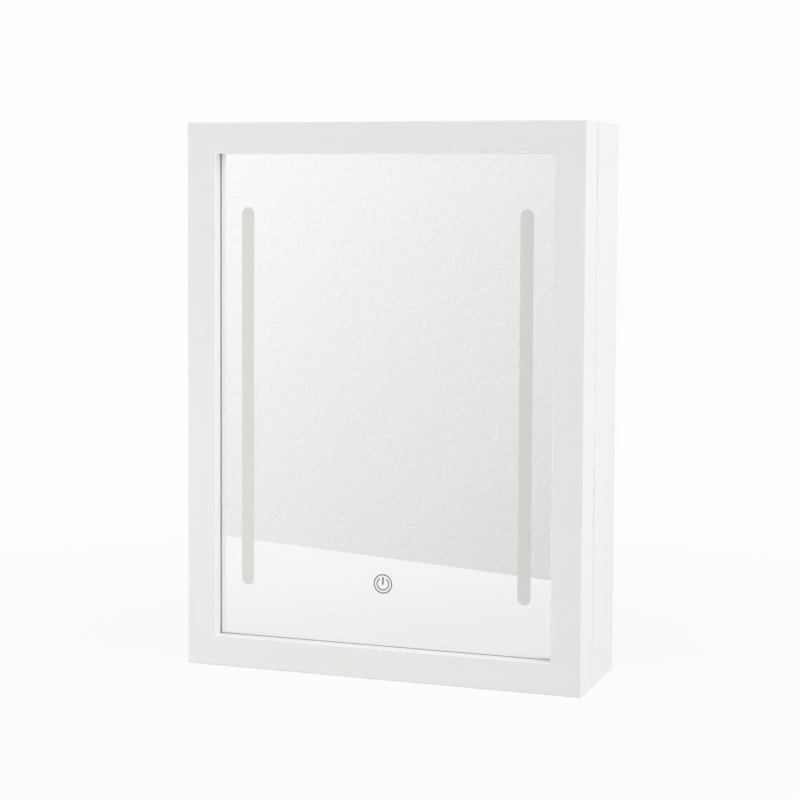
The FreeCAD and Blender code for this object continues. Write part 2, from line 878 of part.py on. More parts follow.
# Door front: a picture frame cut from one board, its front edges eased, drilled behind for the clips.
frame = node(Piece("door_front_frame", "0", "door_front", "cabinet_height / 2"))
frame.add(
    "XZ",
    "0",
    "board_thickness",
    centred("cabinet_width", "cabinet_height"),
    centred("opening_width", "opening_height"),
)
frame.ease("edge_round", in_plane("Y", 0))
clip_riser = "mirror_margin - clip_edge_gap"
clip_hole = f"(clip_wall_gap + {clip_riser} - clip_thickness) / 2"
clip_side = f"inner_width / 2 - ({clip_hole})"
clip_end = f"inner_height / 2 - ({clip_hole})"
clip_places = [
    (f"{a} ({clip_side})", f"{b} side_clip_spacing / 2") for a in ("", "-") for b in ("", "-")
]
clip_places += [
    (f"{a} end_clip_spacing / 2", f"{b} ({clip_end})") for a in ("", "-") for b in ("", "-")
]
clip_screw_depth = "clip_screw_length - clip_thickness"
frame.cut(
    "XZ",
    f"board_thickness - ({clip_screw_depth})",
    f"{clip_screw_depth} + overrun",
    *[disc(x, z, "clip_screw_radius + joint_fit") for x, z in clip_places],
)

# Door box: four walls behind the frame, grooved for the door's back panel and dowelled at the corners.
door_dowel_rows = ("door_dowel_inset", "door_dowel_inset + door_dowel_pitch")


def upright_wall(label, x, inner_start):
    wall = node(Piece(label, x, "wall_front", "0"))
    wall.add("XY", "0", "cabinet_height", rectangle("0", "board_thickness", "0", "wall_depth"))
    inner_low = inner_start == "0"

    def from_inside(depth, *loops):
        start = "-overrun" if inner_low else f"{inner_start} - {depth}"
        return wall.cut("YZ", start, f"{depth} + overrun", *loops)

    from_inside(
        "groove_depth",
        rectangle(
            "door_panel_start - panel_fit",
            "door_panel_start + panel_thickness + panel_fit",
            "groove_end",
            "cabinet_height - groove_end",
        ),
    )
    from_inside(
        "dowel_side_depth",
        *[
            disc(y, z, "dowel_radius + joint_fit")
            for y in door_dowel_rows
            for z in ("board_thickness / 2", "cabinet_height - board_thickness / 2")
        ],
    )
    return wall


left_wall = upright_wall("door_left_wall", "-cabinet_width / 2", "board_thickness")
hinge_seat(left_wall, "wall_depth", -1)
upright_wall("door_right_wall", "cabinet_width / 2 - board_thickness", "0")

for label, z, inner_low in (
    ("door_bottom_wall", "0", False),
    ("door_top_wall", "cabinet_height - board_thickness", True),
):
    wall = node(Piece(label, "-inner_width / 2", "wall_front", z))
    wall.add("YZ", "0", "inner_width", rectangle("0", "wall_depth", "0", "board_thickness"))
    wall.cut(
        "XY",
        "-overrun" if inner_low else "board_thickness - groove_depth",
        "groove_depth + overrun",
        rectangle(
            "-overrun",
            "inner_width + overrun",
            "door_panel_start - panel_fit",
            "door_panel_start + panel_thickness + panel_fit",
        ),
    )
    ends = [disc(y, "board_thickness / 2", "dowel_radius + joint_fit") for y in door_dowel_rows]
    depth = "dowel_board_depth + joint_fit"
    wall.cut("YZ", "-overrun", f"{depth} + overrun", *ends)
    wall.cut("YZ", f"inner_width - ({depth})", f"{depth} + overrun", *ends)

door_dowels = node(Piece("door_dowels", "0", "wall_front + door_dowel_inset", "cabinet_height / 2"))
door_dowels.turn(
    "X",
    ("0", "0", "board_thickness / 2 - cabinet_height / 2"),
    dowel_profile(side_joint),
)
door_dowels.repeat("Y", "door_dowel_pitch", 2)
for plane in ("XY", "YZ"):
    door_dowels.mirror(plane)

# Door back: thin panel in the grooves, with an opening for the battery tray.
door_back = node(Piece("door_back_panel", "0", "wall_front + door_panel_start", "cabinet_height / 2"))
door_back.add(
    "XZ",
    "0",
    "panel_thickness",
    centred("inner_width + 2 * panel_overlap", "inner_height + 2 * panel_overlap"),
    centred(
        "tray_width + 2 * tray_fit",
        "tray_height + 2 * tray_fit",
        "0",
        "battery_height - cabinet_height / 2",
    ),
)

# Mirror: a glass pane on a ring of dark foam tape, silvered behind except at the two light windows,
# which are filled with frosted film.
tape = node(Piece("mirror_tape", "0", "wall_front", "cabinet_height / 2"))
tape.add(
    "XZ",
    "0",
    "tape_thickness",
    centred("mirror_width", "mirror_height"),
    centred("opening_width + 2 * tape_setback", "opening_height + 2 * tape_setback"),
)
glass = node(Piece("mirror_glass", "0", "mirror_front", "cabinet_height / 2"))
glass.add("XZ", "0", "glass_thickness", centred("mirror_width", "mirror_height"))
window_places = {"left": "-window_spacing / 2", "right": "window_spacing / 2"}
window_level = "window_height - cabinet_height / 2"
silver = node(Piece("mirror_silvering", "0", "silver_front", "cabinet_height / 2"))
silver.add(
    "XZ",
    "0",
    "silver_thickness",
    centred("mirror_width", "mirror_height"),
    *[stadium(x, window_level, "window_width", "window_length") for x in window_places.values()],
)
for side, x in window_places.items():
    film = node(Piece(f"{side}_light_window", x, "silver_front", "window_height"))
    film.add("XZ", "0", "silver_thickness", stadium("0", "0", "window_width", "window_length"))

# Mirror clips: Z-bent strips, screwed to the back of the frame, that press on the back of the mirror.
mirror_back = "tape_thickness + glass_thickness + silver_thickness"


def clip_points(edge, way):
    """The Z section, from the wall at edge towards the mirror, with y from the back of the frame."""
    steps = [
        ("clip_wall_gap", "0"),
        (clip_riser, "0"),
        (clip_riser, mirror_back),
        ("mirror_margin + clip_lip", mirror_back),
        ("mirror_margin + clip_lip", f"{mirror_back} + clip_thickness"),
        (f"{clip_riser} - clip_thickness", f"{mirror_back} + clip_thickness"),
        (f"{clip_riser} - clip_thickness", "clip_thickness"),
        ("clip_wall_gap", "clip_thickness"),
    ]
    return [(f"{edge} + {way} * ({across})", y) for across, y in steps]


clip_screw_hole = "clip_screw_radius + joint_fit"
side_clips = Piece("side_clips", "0", "wall_front", "cabinet_height / 2")
side_clips.add(
    "XY",
    "side_clip_spacing / 2 - clip_width / 2",
    "clip_width",
    outline(clip_points("-inner_width / 2", 1)),
)
side_clips.cut(
    "XZ",
    "-overrun",
    "clip_thickness + 2 * overrun",
    disc(f"-({clip_side})", "side_clip_spacing / 2", clip_screw_hole),
)
end_clips = Piece("end_clips", "0", "wall_front", "cabinet_height / 2")
end_clips.add(
    "YZ",
    "end_clip_spacing / 2 - clip_width / 2",
    "clip_width",
    outline([(y, across) for across, y in clip_points("-inner_height / 2", 1)]),
)
end_clips.cut(
    "XZ",
    "-overrun",
    "clip_thickness + 2 * overrun",
    disc("end_clip_spacing / 2", f"-({clip_end})", clip_screw_hole),
)
side_screws = Piece("side_clip_screws", "0", "wall_front", "cabinet_height / 2")
side_screws.turn(
    "Y",
    (f"-({clip_side})", "0", "side_clip_spacing / 2"),
    pan_screw_profile("clip_screw", "clip_thickness", -1),
)
end_screws = Piece("end_clip_screws", "0", "wall_front", "cabinet_height / 2")
end_screws.turn(
    "Y",
    ("end_clip_spacing / 2", "0", f"-({clip_end})"),
    pan_screw_profile("clip_screw", "clip_thickness", -1),
)
for piece in (side_clips, end_clips, side_screws, end_screws):
    piece.mirror("YZ")
    piece.mirror("XY")
group("mirror_clips", side_clips, end_clips)
group("clip_screws", side_screws, end_screws)

# Lights: behind each window an aluminium channel holds a circuit strip with its light-emitting diodes,
# and an opal diffuser lies on the channel's ledges against the mirror.
channel_half = [
    ("channel_width / 2", "channel_depth"),
    ("channel_width / 2", "0"),
    ("channel_width / 2 - channel_wall", "0"),
    ("channel_width / 2 - channel_wall", "diffuser_thickness"),
    ("channel_width / 2 - channel_wall - channel_ledge", "diffuser_thickness"),
    ("channel_width / 2 - channel_wall - channel_ledge", "diffuser_thickness + ledge_thickness"),
    ("channel_width / 2 - channel_wall", "diffuser_thickness + ledge_thickness"),
    ("channel_width / 2 - channel_wall", "channel_depth - channel_wall"),
]
channel_section = channel_half + [(f"-({x})", y) for x, y in channel_half[::-1]]
board_face = "channel_depth - channel_wall - led_board_thickness"
led_count = 24
led_run = "window_length - 2 * window_width"
for side, x in window_places.items():
    channel = node(Piece(f"{side}_led_channel", x, "mirror_rear", "channel_foot"))
    channel.add("XY", "0", "channel_length", outline(channel_section))
    diffuser = node(Piece(f"{side}_diffuser", x, "mirror_rear", "channel_foot"))
    diffuser.add(
        "XY",
        "0",
        "channel_length",
        rectangle(
            "channel_wall + diffuser_fit - channel_width / 2",
            "channel_width / 2 - channel_wall - diffuser_fit",
            "0",
            "diffuser_thickness",
        ),
    )
    board = node(Piece(f"{side}_led_board", x, "mirror_rear", "channel_foot"))
    board.add(
        "XY",
        "led_board_end_gap",
        "channel_length - 2 * led_board_end_gap",
        rectangle(
            "-led_board_width / 2",
            "led_board_width / 2",
            board_face,
            f"{board_face} + led_board_thickness",
        ),
    )
    leds = node(Piece(f"{side}_leds", x, "mirror_rear", "window_height"))
    leds.add(
        "XZ",
        f"{board_face} - led_height",
        "led_height",
        centred("led_size", "led_size", "0", f"-({led_run}) / 2"),
    )
    leds.repeat("Z", f"({led_run}) / {led_count - 1}", led_count)

# Touch sensor: a moulded case stuck to the back of the mirror behind the symbol, with its board
# against the glass.
sensor = node(Piece("touch_sensor_case", "0", "mirror_rear", "touch_height"))
sensor.add("XZ", "0", "sensor_depth", centred("sensor_width", "sensor_height"))
sensor.ease("sensor_round", along("y"))
sensor.cut(
    "XZ",
    "-overrun",
    "sensor_depth - sensor_wall + overrun",
    centred("sensor_width - 2 * sensor_wall", "sensor_height - 2 * sensor_wall"),
)
sensor_board = node(Piece("touch_sensor_board", "0", "mirror_rear", "touch_height"))
sensor_board.add(
    "XZ",
    "0",
    "sensor_board_thickness",
    centred(
        "sensor_width - 2 * (sensor_wall + sensor_board_fit)",
        "sensor_height - 2 * (sensor_wall + sensor_board_fit)",
    ),
)

# Battery tray: a moulded box let into the door's back, flanged over the panel, with two guides and a
# stop for the sliding cover.
tray = node(Piece("battery_tray", "0", "door_panel_rear", "battery_height"))
tray.add(
    "XZ",
    "flange_thickness - tray_depth - tray_wall",
    "tray_depth + tray_wall",
    centred("tray_width", "tray_height"),
)
tray.add(
    "XZ", "0", "flange_thickness", centred("2 * flange_half_width", "2 * flange_half_height")
)
tray.cut(
    "XZ",
    "flange_thickness - tray_depth",
    "tray_depth + overrun",
    centred("4 * cell_pitch", "cell_bay"),
)
lip_floor = "flange_thickness + guide_depth"
guide_section = [
    ("guide_half_width", "0"),
    ("flange_half_width", "0"),
    ("flange_half_width", f"{lip_floor} + guide_lip_thickness"),
    ("guide_half_width - guide_lip", f"{lip_floor} + guide_lip_thickness"),
    ("guide_half_width - guide_lip", lip_floor),
    ("guide_half_width", lip_floor),
]
tray.add(
    "XY",
    "-flange_half_height",
    "2 * flange_half_height",
    outline(guide_section),
    outline([(f"-({x})", y) for x, y in guide_section[::-1]]),
)
tray.add(
    "XZ",
    "0",
    "flange_thickness + guide_depth",
    rectangle(
        "-flange_half_width",
        "flange_half_width",
        "-flange_half_height",
        "guide_wall - flange_half_height",
    ),
)

cover = node(Piece("battery_cover", "0", "door_panel_rear", "battery_height"))
cover_face = "flange_thickness + cover_fit + cover_thickness"
cover.add(
    "XZ",
    "flange_thickness + cover_fit",
    "cover_thickness",
    rectangle(
        "cover_fit - guide_half_width",
        "guide_half_width - cover_fit",
        "cover_foot",
        "flange_half_height",
    ),
)
cover.add(
    "XZ",
    cover_face,
    "cover_rib_height",
    *[
        centred(
            "cover_rib_length",
            "cover_rib_width",
            "0",
            f"flange_half_height - cover_rib_length / 2 - {step} * cover_rib_pitch",
        )
        for step in range(4)
    ],
)

# Cells: four in a row, every second one turned end for end, between domed contact plates.
cell_line = "flange_thickness - tray_depth + cell_room + cell_radius"
cell_half = "(cell_length + cell_nub_height) / 2"
first_cell = "cell_pitch / 2 - 2 * cell_pitch"
cells = node(
    Piece("battery_cells", first_cell, f"door_panel_rear + {cell_line}", "battery_height")
)
for place, way in (("0", 1), ("cell_pitch", -1)):
    cells.turn(
        "Z",
        (place, "0", "0"),
        [
            (f"-{way} * {cell_half}", "0"),
            (f"-{way} * {cell_half}", "cell_radius - cell_edge"),
            (f"-{way} * ({cell_half} - cell_edge)", "cell_radius"),
            (f"{way} * ({cell_half} - cell_nub_height - cell_edge)", "cell_radius"),
            (f"{way} * ({cell_half} - cell_nub_height)", "cell_radius - cell_edge"),
            (f"{way} * ({cell_half} - cell_nub_height)", "cell_nub_radius"),
            (f"{way} * {cell_half}", "cell_nub_radius"),
            (f"{way} * {cell_half}", "0"),
        ],
    )
cells.repeat("X", "2 * cell_pitch", 2)

contacts = node(
    Piece("battery_contacts", first_cell, f"door_panel_rear + {cell_line}", "battery_height")
)
contacts.add(
    "XY", "-cell_bay / 2", "contact_thickness", centred("contact_width", "contact_width")
)
contacts.turn(
    "Z",
    ("0", "0", "-cell_bay / 2"),
    [
        ("0", "0"),
        ("0", "contact_dome_radius"),
        ("contact_thickness", "contact_dome_radius"),
        ("contact_room - contact_gap", "contact_tip_radius"),
        ("contact_room - contact_gap", "0"),
    ],
)
contacts.mirror("XY")
contacts.repeat("X", "cell_pitch", 4)

# Strike plate: a steel disc stuck to the door's back where the latch's magnet meets it.
strike = node(Piece("strike_plate", "plunger_line", "door_panel_rear", "latch_height"))
strike.turn(
    "Y",
    ("0", "0", "0"),
    [
        ("0", "0"),
        ("0", "strike_radius"),
        ("strike_thickness - strike_edge", "strike_radius"),
        ("strike_thickness", "strike_radius - strike_edge"),
        ("strike_thickness", "0"),
    ],
)

# Butt hinges: two leaves let into the edges of the carcass and the door, with interleaved knuckles on
# a headed pin. The carcass leaf has the outer and the middle knuckles.


def hinge_leaf(label, foot, way, knuckles):
    leaf = node(Piece(label, "-cabinet_width / 2", "seam_middle", foot))
    faces = [f"{way} * hinge_leaf_gap / 2", f"{way} * (hinge_leaf_gap / 2 + hinge_leaf_thickness)"]
    low, high = faces if way > 0 else faces[::-1]
    leaf.add("XY", "0", "hinge_height", rectangle("0", "hinge_leaf_width", low, high))
    leaf.add("XY", "0", "hinge_height", disc("0", "0", "hinge_barrel_radius"))
    for step in range(5):
        if step not in knuckles:
            leaf.cut(
                "XY",
                f"{step} * knuckle_height - knuckle_gap / 2",
                "knuckle_height + knuckle_gap",
                disc("0", "0", "hinge_barrel_radius + hinge_relief"),
            )
    leaf.cut(
        "XY",
        "-overrun",
        "hinge_height + 2 * overrun",
        disc("0", "0", "hinge_pin_radius + hinge_pin_fit"),
    )
    for step in (-1, 0, 1):
        leaf.bore(
            "Y",
            ("hinge_screw_setback", "0", f"hinge_height / 2 + {step} * hinge_screw_pitch"),
            sunk_hole_profile("hinge_screw", faces[0], way, "hinge_leaf_thickness + overrun"),
        )


for side, foot in (("lower", "lower_hinge_foot"), ("upper", "lower_hinge_foot + hinge_spacing")):
    hinge_leaf(f"{side}_hinge_carcass_leaf", foot, 1, (0, 2, 4))
    hinge_leaf(f"{side}_hinge_door_leaf", foot, -1, (1, 3))
    hinge_pin = node(Piece(f"{side}_hinge_pin", "-cabinet_width / 2", "seam_middle", foot))
    hinge_pin.turn(
        "Z",
        ("0", "0", "0"),
        [
            ("-hinge_pin_head_height", "0"),
            ("-hinge_pin_head_height", "hinge_pin_radius"),
            ("0", "hinge_barrel_radius"),
            ("0", "hinge_pin_radius"),
            ("hinge_height", "hinge_pin_radius"),
            ("hinge_height", "hinge_barrel_radius"),
            ("hinge_height + hinge_pin_head_height", "hinge_pin_radius"),
            ("hinge_height + hinge_pin_head_height", "0"),
        ],
    )

for label, way in (("carcass_hinge_screws", 1), ("door_hinge_screws", -1)):
    screws = node(
        Piece(
            label,
            "hinge_screw_setback - cabinet_width / 2",
            "seam_middle",
            "hinge_inset - hinge_screw_pitch",
        )
    )
    screws.turn(
        "Y", ("0", "0", "0"), sunk_screw_profile("hinge_screw", f"{way} * hinge_leaf_gap / 2", way)
    )
    screws.repeat("Z", "hinge_screw_pitch", 3)
    screws.repeat("Z", "hinge_spacing", 2)

# Push latch: a flanged housing on the right side, bored for a sprung plunger with a magnet in its tip.
latch = node(Piece("latch_housing", "plunger_line", "latch_front", "latch_height"))
latch.add("XZ", "0", "latch_bore + latch_end_wall", centred("latch_width", "latch_body_height"))
latch.ease(
    "latch_round",
    lambda edge: along("y")(edge) and edge.Vertexes[0].X < 0,
)
latch.add(
    "XZ",
    "0",
    "latch_flange_length",
    rectangle(
        "latch_width / 2 - latch_flange_thickness",
        "latch_width / 2",
        "-latch_flange_height / 2",
        "latch_flange_height / 2",
    ),
)
latch.cut("XZ", "-overrun", "latch_bore + overrun", disc("0", "0", "plunger_radius + plunger_fit"))
flange_face = "latch_width / 2 - latch_flange_thickness"
for sign in ("", "-"):
    latch.bore(
        "X",
        ("0", "latch_flange_length / 2", f"{sign}latch_screw_spacing / 2"),
        sunk_hole_profile("latch_screw", flange_face, 1, "latch_flange_thickness + overrun"),
    )
latch_screws = node(
    Piece("latch_screws", "plunger_line", "latch_front + latch_flange_length / 2", "latch_height")
)
latch_screws.turn(
    "X", ("0", "0", "-latch_screw_spacing / 2"), sunk_screw_profile("latch_screw", flange_face, 1)
)
latch_screws.repeat("Z", "latch_screw_spacing", 2)

plunger = node(Piece("latch_plunger", "plunger_line", "plunger_tip", "latch_height"))
plunger.turn(
    "Y",
    ("0", "0", "0"),
    [
        ("0", "magnet_radius + joint_fit"),
        ("0", "plunger_radius - plunger_edge"),
        ("plunger_edge", "plunger_radius"),
        ("plunger_length", "plunger_radius"),
        ("plunger_length", "0"),
        ("magnet_length", "0"),
        ("magnet_length", "magnet_radius + joint_fit"),
    ],
)
magnet = node(Piece("latch_magnet", "plunger_line", "plunger_tip", "latch_height"))
magnet.turn(
    "Y",
    ("0", "0", "0"),
    [("0", "0"), ("0", "magnet_radius"), ("magnet_length", "magnet_radius"), ("magnet_length", "0")],
)

# Bumpers: thin clear dots on the carcass edge at the closing side.
bumpers = node(
    Piece("door_bumpers", "cabinet_width / 2 - board_thickness / 2", "carcass_front", "cabinet_height / 2")
)
bumpers.turn(
    "Y",
    ("0", "0", "bumper_inset - cabinet_height / 2"),
    [
        ("0", "0"),
        ("0", "bumper_radius"),
        ("bumper_edge - bumper_thickness", "bumper_radius"),
        ("-bumper_thickness", "bumper_radius - bumper_edge"),
        ("-bumper_thickness", "0"),
    ],
)
bumpers.repeat("Z", "cabinet_height - 2 * bumper_inset", 2)


# Leads and the latch's spring follow straight runs and arcs


def wire_feature(label, path, section):
    """A wire of the given closed section, carried along a path that starts at the section's middle."""
    feature = doc.addObject("Part::Feature", label)
    feature.Label = label
    feature.Shape = path.makePipeShell([section], True, False)
    nodes.append(feature)


def lead(label, points, bend):
    """A lead through the given points, each corner rounded by a tangent arc."""
    corners = [FreeCAD.Vector(*(number(text) for text in point)) for point in points]
    edges = []
    last = corners[0]
    for before, corner, after in zip(corners, corners[1:], corners[2:]):
        back = (before - corner).normalize()
        ahead = (after - corner).normalize()
        half = back.getAngle(ahead) / 2
        reach = number(bend) / math.tan(half)
        middle = (back + ahead).normalize()
        centre = corner + middle * (number(bend) / math.sin(half))
        entry = corner + back * reach
        leave = corner + ahead * reach
        edges.append(Part.LineSegment(last, entry).toShape())
        edges.append(Part.Arc(entry, centre - middle * number(bend), leave).toShape())
        last = leave
    edges.append(Part.LineSegment(last, corners[-1]).toShape())
    ring = Part.Circle(corners[0], corners[1] - corners[0], number("lead_radius"))
    wire_feature(label, Part.Wire(edges), Part.Wire(ring.toShape()))


sensor_foot = "touch_height - sensor_height / 2"
lead_level = f"{sensor_foot} - lead_drop"
for side, x in window_places.items():
    exit_x = "-lead_inset" if side == "left" else "lead_inset"
    lead(
        f"{side}_lead",
        [
            (exit_x, "lead_line", sensor_foot),
            (exit_x, "lead_line", lead_level),
            (x, "lead_line", lead_level),
            (x, "lead_line", "channel_foot + lead_entry"),
        ],
        "lead_bend",
    )
tray_foot = "battery_height - tray_height / 2"
sensor_head = "touch_height + sensor_height / 2"
tray_lead_line = "door_panel_rear + flange_thickness - tray_depth / 2"
lead(
    "battery_lead",
    [
        ("0", tray_lead_line, tray_foot),
        ("0", tray_lead_line, f"{tray_foot} - battery_lead_run"),
        ("0", "lead_line", f"{sensor_head} + battery_lead_run"),
        ("0", "lead_line", sensor_head),
    ],
    "battery_lead_bend",
)

# Latch spring: an open coil between the plunger and the end of the bore, each quarter turn an arc, with
# a six-sided wire.
spring_turns = 5
wire_sides = 6
wire = number("spring_wire_radius")
coil = number("spring_radius")
climb = number("spring_length") - 2 * wire


def coil_point(turn):
    angle = 2 * math.pi * turn
    return FreeCAD.Vector(
        number("plunger_line") + coil * math.cos(angle),
        number("spring_front") + wire + climb * turn / spring_turns,
        number("latch_height") + coil * math.sin(angle),
    )


quarters = [step / 4 for step in range(4 * spring_turns)]
arcs = [
    Part.Arc(coil_point(q), coil_point(q + 1 / 8), coil_point(q + 1 / 4)).toShape() for q in quarters
]
pitch = climb / spring_turns
start_way = FreeCAD.Vector(0, pitch / (2 * math.pi), coil).normalize()
outwards = FreeCAD.Vector(1, 0, 0)
upwards = start_way.cross(outwards)
turns = [2 * math.pi * side / wire_sides for side in range(wire_sides + 1)]
wire_corners = [
    coil_point(0) + (outwards * math.cos(turn) + upwards * math.sin(turn)) * wire for turn in turns
]
wire_feature("latch_spring", Part.Wire(arcs), Part.makePolygon(wire_corners))
print("spring gap between turns", round(pitch - 2 * wire, 3))

# Every feature has to be sound, and every cut has to take something away, before a file is written.
doc.recompute()
for thing in doc.Objects:
    if "Invalid" in thing.State or "Error" in thing.State:
        raise RuntimeError(f"{thing.Label} failed: {thing.State} {thing.getStatusString()}")
for piece in Piece.made:
    for before, after in piece.cuts:
        if before.Shape.Volume - after.Shape.Volume <= 0:
            raise RuntimeError(f"{after.Label} cuts nothing")
for thing in nodes:
    if thing.Shape.isNull() or not thing.Shape.isValid():
        raise RuntimeError(f"{thing.Label} has no sound shape")

os.makedirs("parts", exist_ok=True)
for thing in nodes:
    thing.Shape.exportStep(f"parts/{thing.Label}.step")
print(len(nodes), "pieces written")
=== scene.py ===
import math

import bmesh
import bpy
import numpy as np
from mathutils import Matrix, Vector


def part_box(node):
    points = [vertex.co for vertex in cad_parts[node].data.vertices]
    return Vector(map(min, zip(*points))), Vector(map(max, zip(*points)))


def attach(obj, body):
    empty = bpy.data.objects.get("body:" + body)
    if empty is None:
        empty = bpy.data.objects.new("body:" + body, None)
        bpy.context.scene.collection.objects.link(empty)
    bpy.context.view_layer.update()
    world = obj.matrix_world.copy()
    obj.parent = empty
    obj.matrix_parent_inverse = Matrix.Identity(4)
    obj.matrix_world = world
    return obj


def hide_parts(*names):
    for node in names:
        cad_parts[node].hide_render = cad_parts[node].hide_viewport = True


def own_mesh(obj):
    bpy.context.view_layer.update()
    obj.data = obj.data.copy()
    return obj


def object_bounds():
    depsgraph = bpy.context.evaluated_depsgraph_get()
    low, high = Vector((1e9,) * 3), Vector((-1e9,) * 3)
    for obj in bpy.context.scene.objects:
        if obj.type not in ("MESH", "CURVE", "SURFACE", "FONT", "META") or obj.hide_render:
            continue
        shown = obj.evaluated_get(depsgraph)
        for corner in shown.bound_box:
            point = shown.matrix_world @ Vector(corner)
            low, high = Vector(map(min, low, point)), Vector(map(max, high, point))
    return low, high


# Mirror cabinet with a lit door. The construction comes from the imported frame, in metres, with +Z up and
# the mirror facing -Y; each section below dresses one piece or one group of like pieces.
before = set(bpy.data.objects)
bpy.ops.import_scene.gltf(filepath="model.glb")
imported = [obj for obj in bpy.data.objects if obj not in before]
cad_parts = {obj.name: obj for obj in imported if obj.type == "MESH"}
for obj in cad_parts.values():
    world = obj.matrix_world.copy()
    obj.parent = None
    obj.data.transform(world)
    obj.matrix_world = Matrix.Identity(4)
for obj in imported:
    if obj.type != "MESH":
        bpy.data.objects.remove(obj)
cad_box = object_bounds()


# Carcass boards: two sides, top, bottom and the hanging rail, with two loose shelves on pins.
# Fibreboard under sprayed white lacquer, dowelled and drawn together with cam fittings.
# The spray leaves a fine orange peel and a tone that drifts slightly over each board.


def place(tree, kind, feeds=None, **settings):
    """One shader node. Settings are its own properties; a feed is a plain value or a socket to link."""
    node = tree.nodes.new("ShaderNode" + kind)
    for title, value in settings.items():
        setattr(node, title, value)
    for title, feed in (feeds or {}).items():
        if isinstance(feed, bpy.types.NodeSocket):
            tree.links.new(feed, node.inputs[title])
        else:
            node.inputs[title].default_value = feed
    return node


def calc(tree, operation, first, second):
    """The result of one Math node on two values or sockets."""
    return place(tree, "Math", {0: first, 1: second}, operation=operation).outputs[0]


def spread(tree, value, low, high):
    """A noise value, mostly between 0.3 and 0.7, carried over to the range from low to high."""
    feeds = {"Value": value, "From Min": 0.3, "From Max": 0.7, "To Min": low, "To Max": high}
    return place(tree, "MapRange", feeds).outputs["Result"]


def stretched(tree, scale):
    """Object coordinates, in metres, multiplied by a scale for each axis."""
    where = place(tree, "TexCoord").outputs["Object"]
    return place(tree, "Mapping", {"Vector": where, "Scale": scale}).outputs["Vector"]


def cloud(tree, scale, detail, where=None):
    """Soft noise between 0 and 1, with scale lumps to the metre."""
    if where is None:
        where = place(tree, "TexCoord").outputs["Object"]
    feeds = {"Vector": where, "Scale": scale, "Detail": detail}
    return place(tree, "TexNoise", feeds).outputs["Fac"]


def tinted(tree, colour, value):
    """A colour multiplied by a value."""
    return place(tree, "VectorMath", {0: colour, "Scale": value}, operation="SCALE").outputs["Vector"]


def between(tree, share, first, second):
    """The first colour where the share is 0 and the second where it is 1.

    A Mix node's colours are its inputs 6 and 7, and their mix is its output 2.
    """
    return place(tree, "Mix", {0: share, 6: first, 7: second}, data_type="RGBA").outputs[2]


def pattern(name, inputs, wire):
    """A shader node group with these inputs, whose wire function gives Colour, Roughness and Height."""
    tree = bpy.data.node_groups.new(name, "ShaderNodeTree")
    for title, value in inputs.items():
        kind = "NodeSocketFloat" if isinstance(value, float) else "NodeSocketColor"
        socket = tree.interface.new_socket(title, in_out="INPUT", socket_type=kind)
        socket.default_value = value
    ends = {"Colour": "NodeSocketColor", "Roughness": "NodeSocketFloat", "Height": "NodeSocketFloat"}
    for title, kind in ends.items():
        tree.interface.new_socket(title, in_out="OUTPUT", socket_type=kind)
    made = wire(tree, tree.nodes.new("NodeGroupInput").outputs)
    ending = tree.nodes.new("NodeGroupOutput")
    for title, socket in zip(ends, made):
        tree.links.new(socket, ending.inputs[title])
    return tree


def finish(name, group, given, relief, sockets=None):
    """A Principled material that takes colour, roughness and relief, in metres, from a pattern group."""
    material = bpy.data.materials.new(name)
    material.use_nodes = True
    tree = material.node_tree
    shader = tree.nodes["Principled BSDF"]
    for title, value in (sockets or {}).items():
        shader.inputs[title].default_value = value
    coat = place(tree, "Group", given, node_tree=group)
    tree.links.new(coat.outputs["Colour"], shader.inputs["Base Color"])
    tree.links.new(coat.outputs["Roughness"], shader.inputs["Roughness"])
    bump = place(tree, "Bump", {"Height": coat.outputs["Height"], "Distance": relief})
    tree.links.new(bump.outputs["Normal"], shader.inputs["Normal"])
    return material


def dress(material, *names):
    """Gives CAD nodes their finish."""
    for name in names:
        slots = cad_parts[name].data.materials
        slots.clear()
        slots.append(material)


def lacquer_wire(tree, given):
    """A colour dimmed by its drift in wide clouds, a finely mottled roughness, and the peel as height."""
    least = calc(tree, "SUBTRACT", 1.0, given["Drift"])
    drift = spread(tree, cloud(tree, scale=5.0, detail=2.0), low=least, high=1.0)
    colour = tinted(tree, given["Colour"], drift)
    mottle = spread(tree, cloud(tree, scale=70.0, detail=2.0), low=-0.04, high=0.04)
    roughness = calc(tree, "ADD", given["Roughness"], mottle)
    return colour, roughness, cloud(tree, scale=given["Peel"], detail=2.0)


lacquer_inputs = {"Colour": (0.8, 0.8, 0.8, 1.0), "Drift": 0.02, "Roughness": 0.4, "Peel": 600.0}
lacquer = pattern("sprayed_lacquer", lacquer_inputs, lacquer_wire)
peel_height = 0.00003
board_colour = (0.862, 0.853, 0.837, 1.0)
dress(
    finish("carcass_lacquer", lacquer, {"Colour": board_colour, "Drift": 0.015}, peel_height),
    "left_side_panel",
    "right_side_panel",
    "top_panel",
    "bottom_panel",
    "hanging_rail",
)
shelf_colour = (0.868, 0.862, 0.848, 1.0)
dress(
    finish("shelf_lacquer", lacquer, {"Colour": shelf_colour, "Roughness": 0.45}, peel_height),
    "lower_shelf",
    "upper_shelf",
)

# Thin backs of the carcass and of the door: hardboard slid into grooves in the boards round it.
# The face that shows in use is white-coated and slightly pebbled; the far side stays bare brown fibre.
fibre_colour = (0.36, 0.235, 0.14, 1.0)
face_colour = (0.83, 0.825, 0.81, 1.0)
facing_limit = 0.5
fleck_stretch = (1.0, 1.0, 2.5)
pebble_height = 0.00005


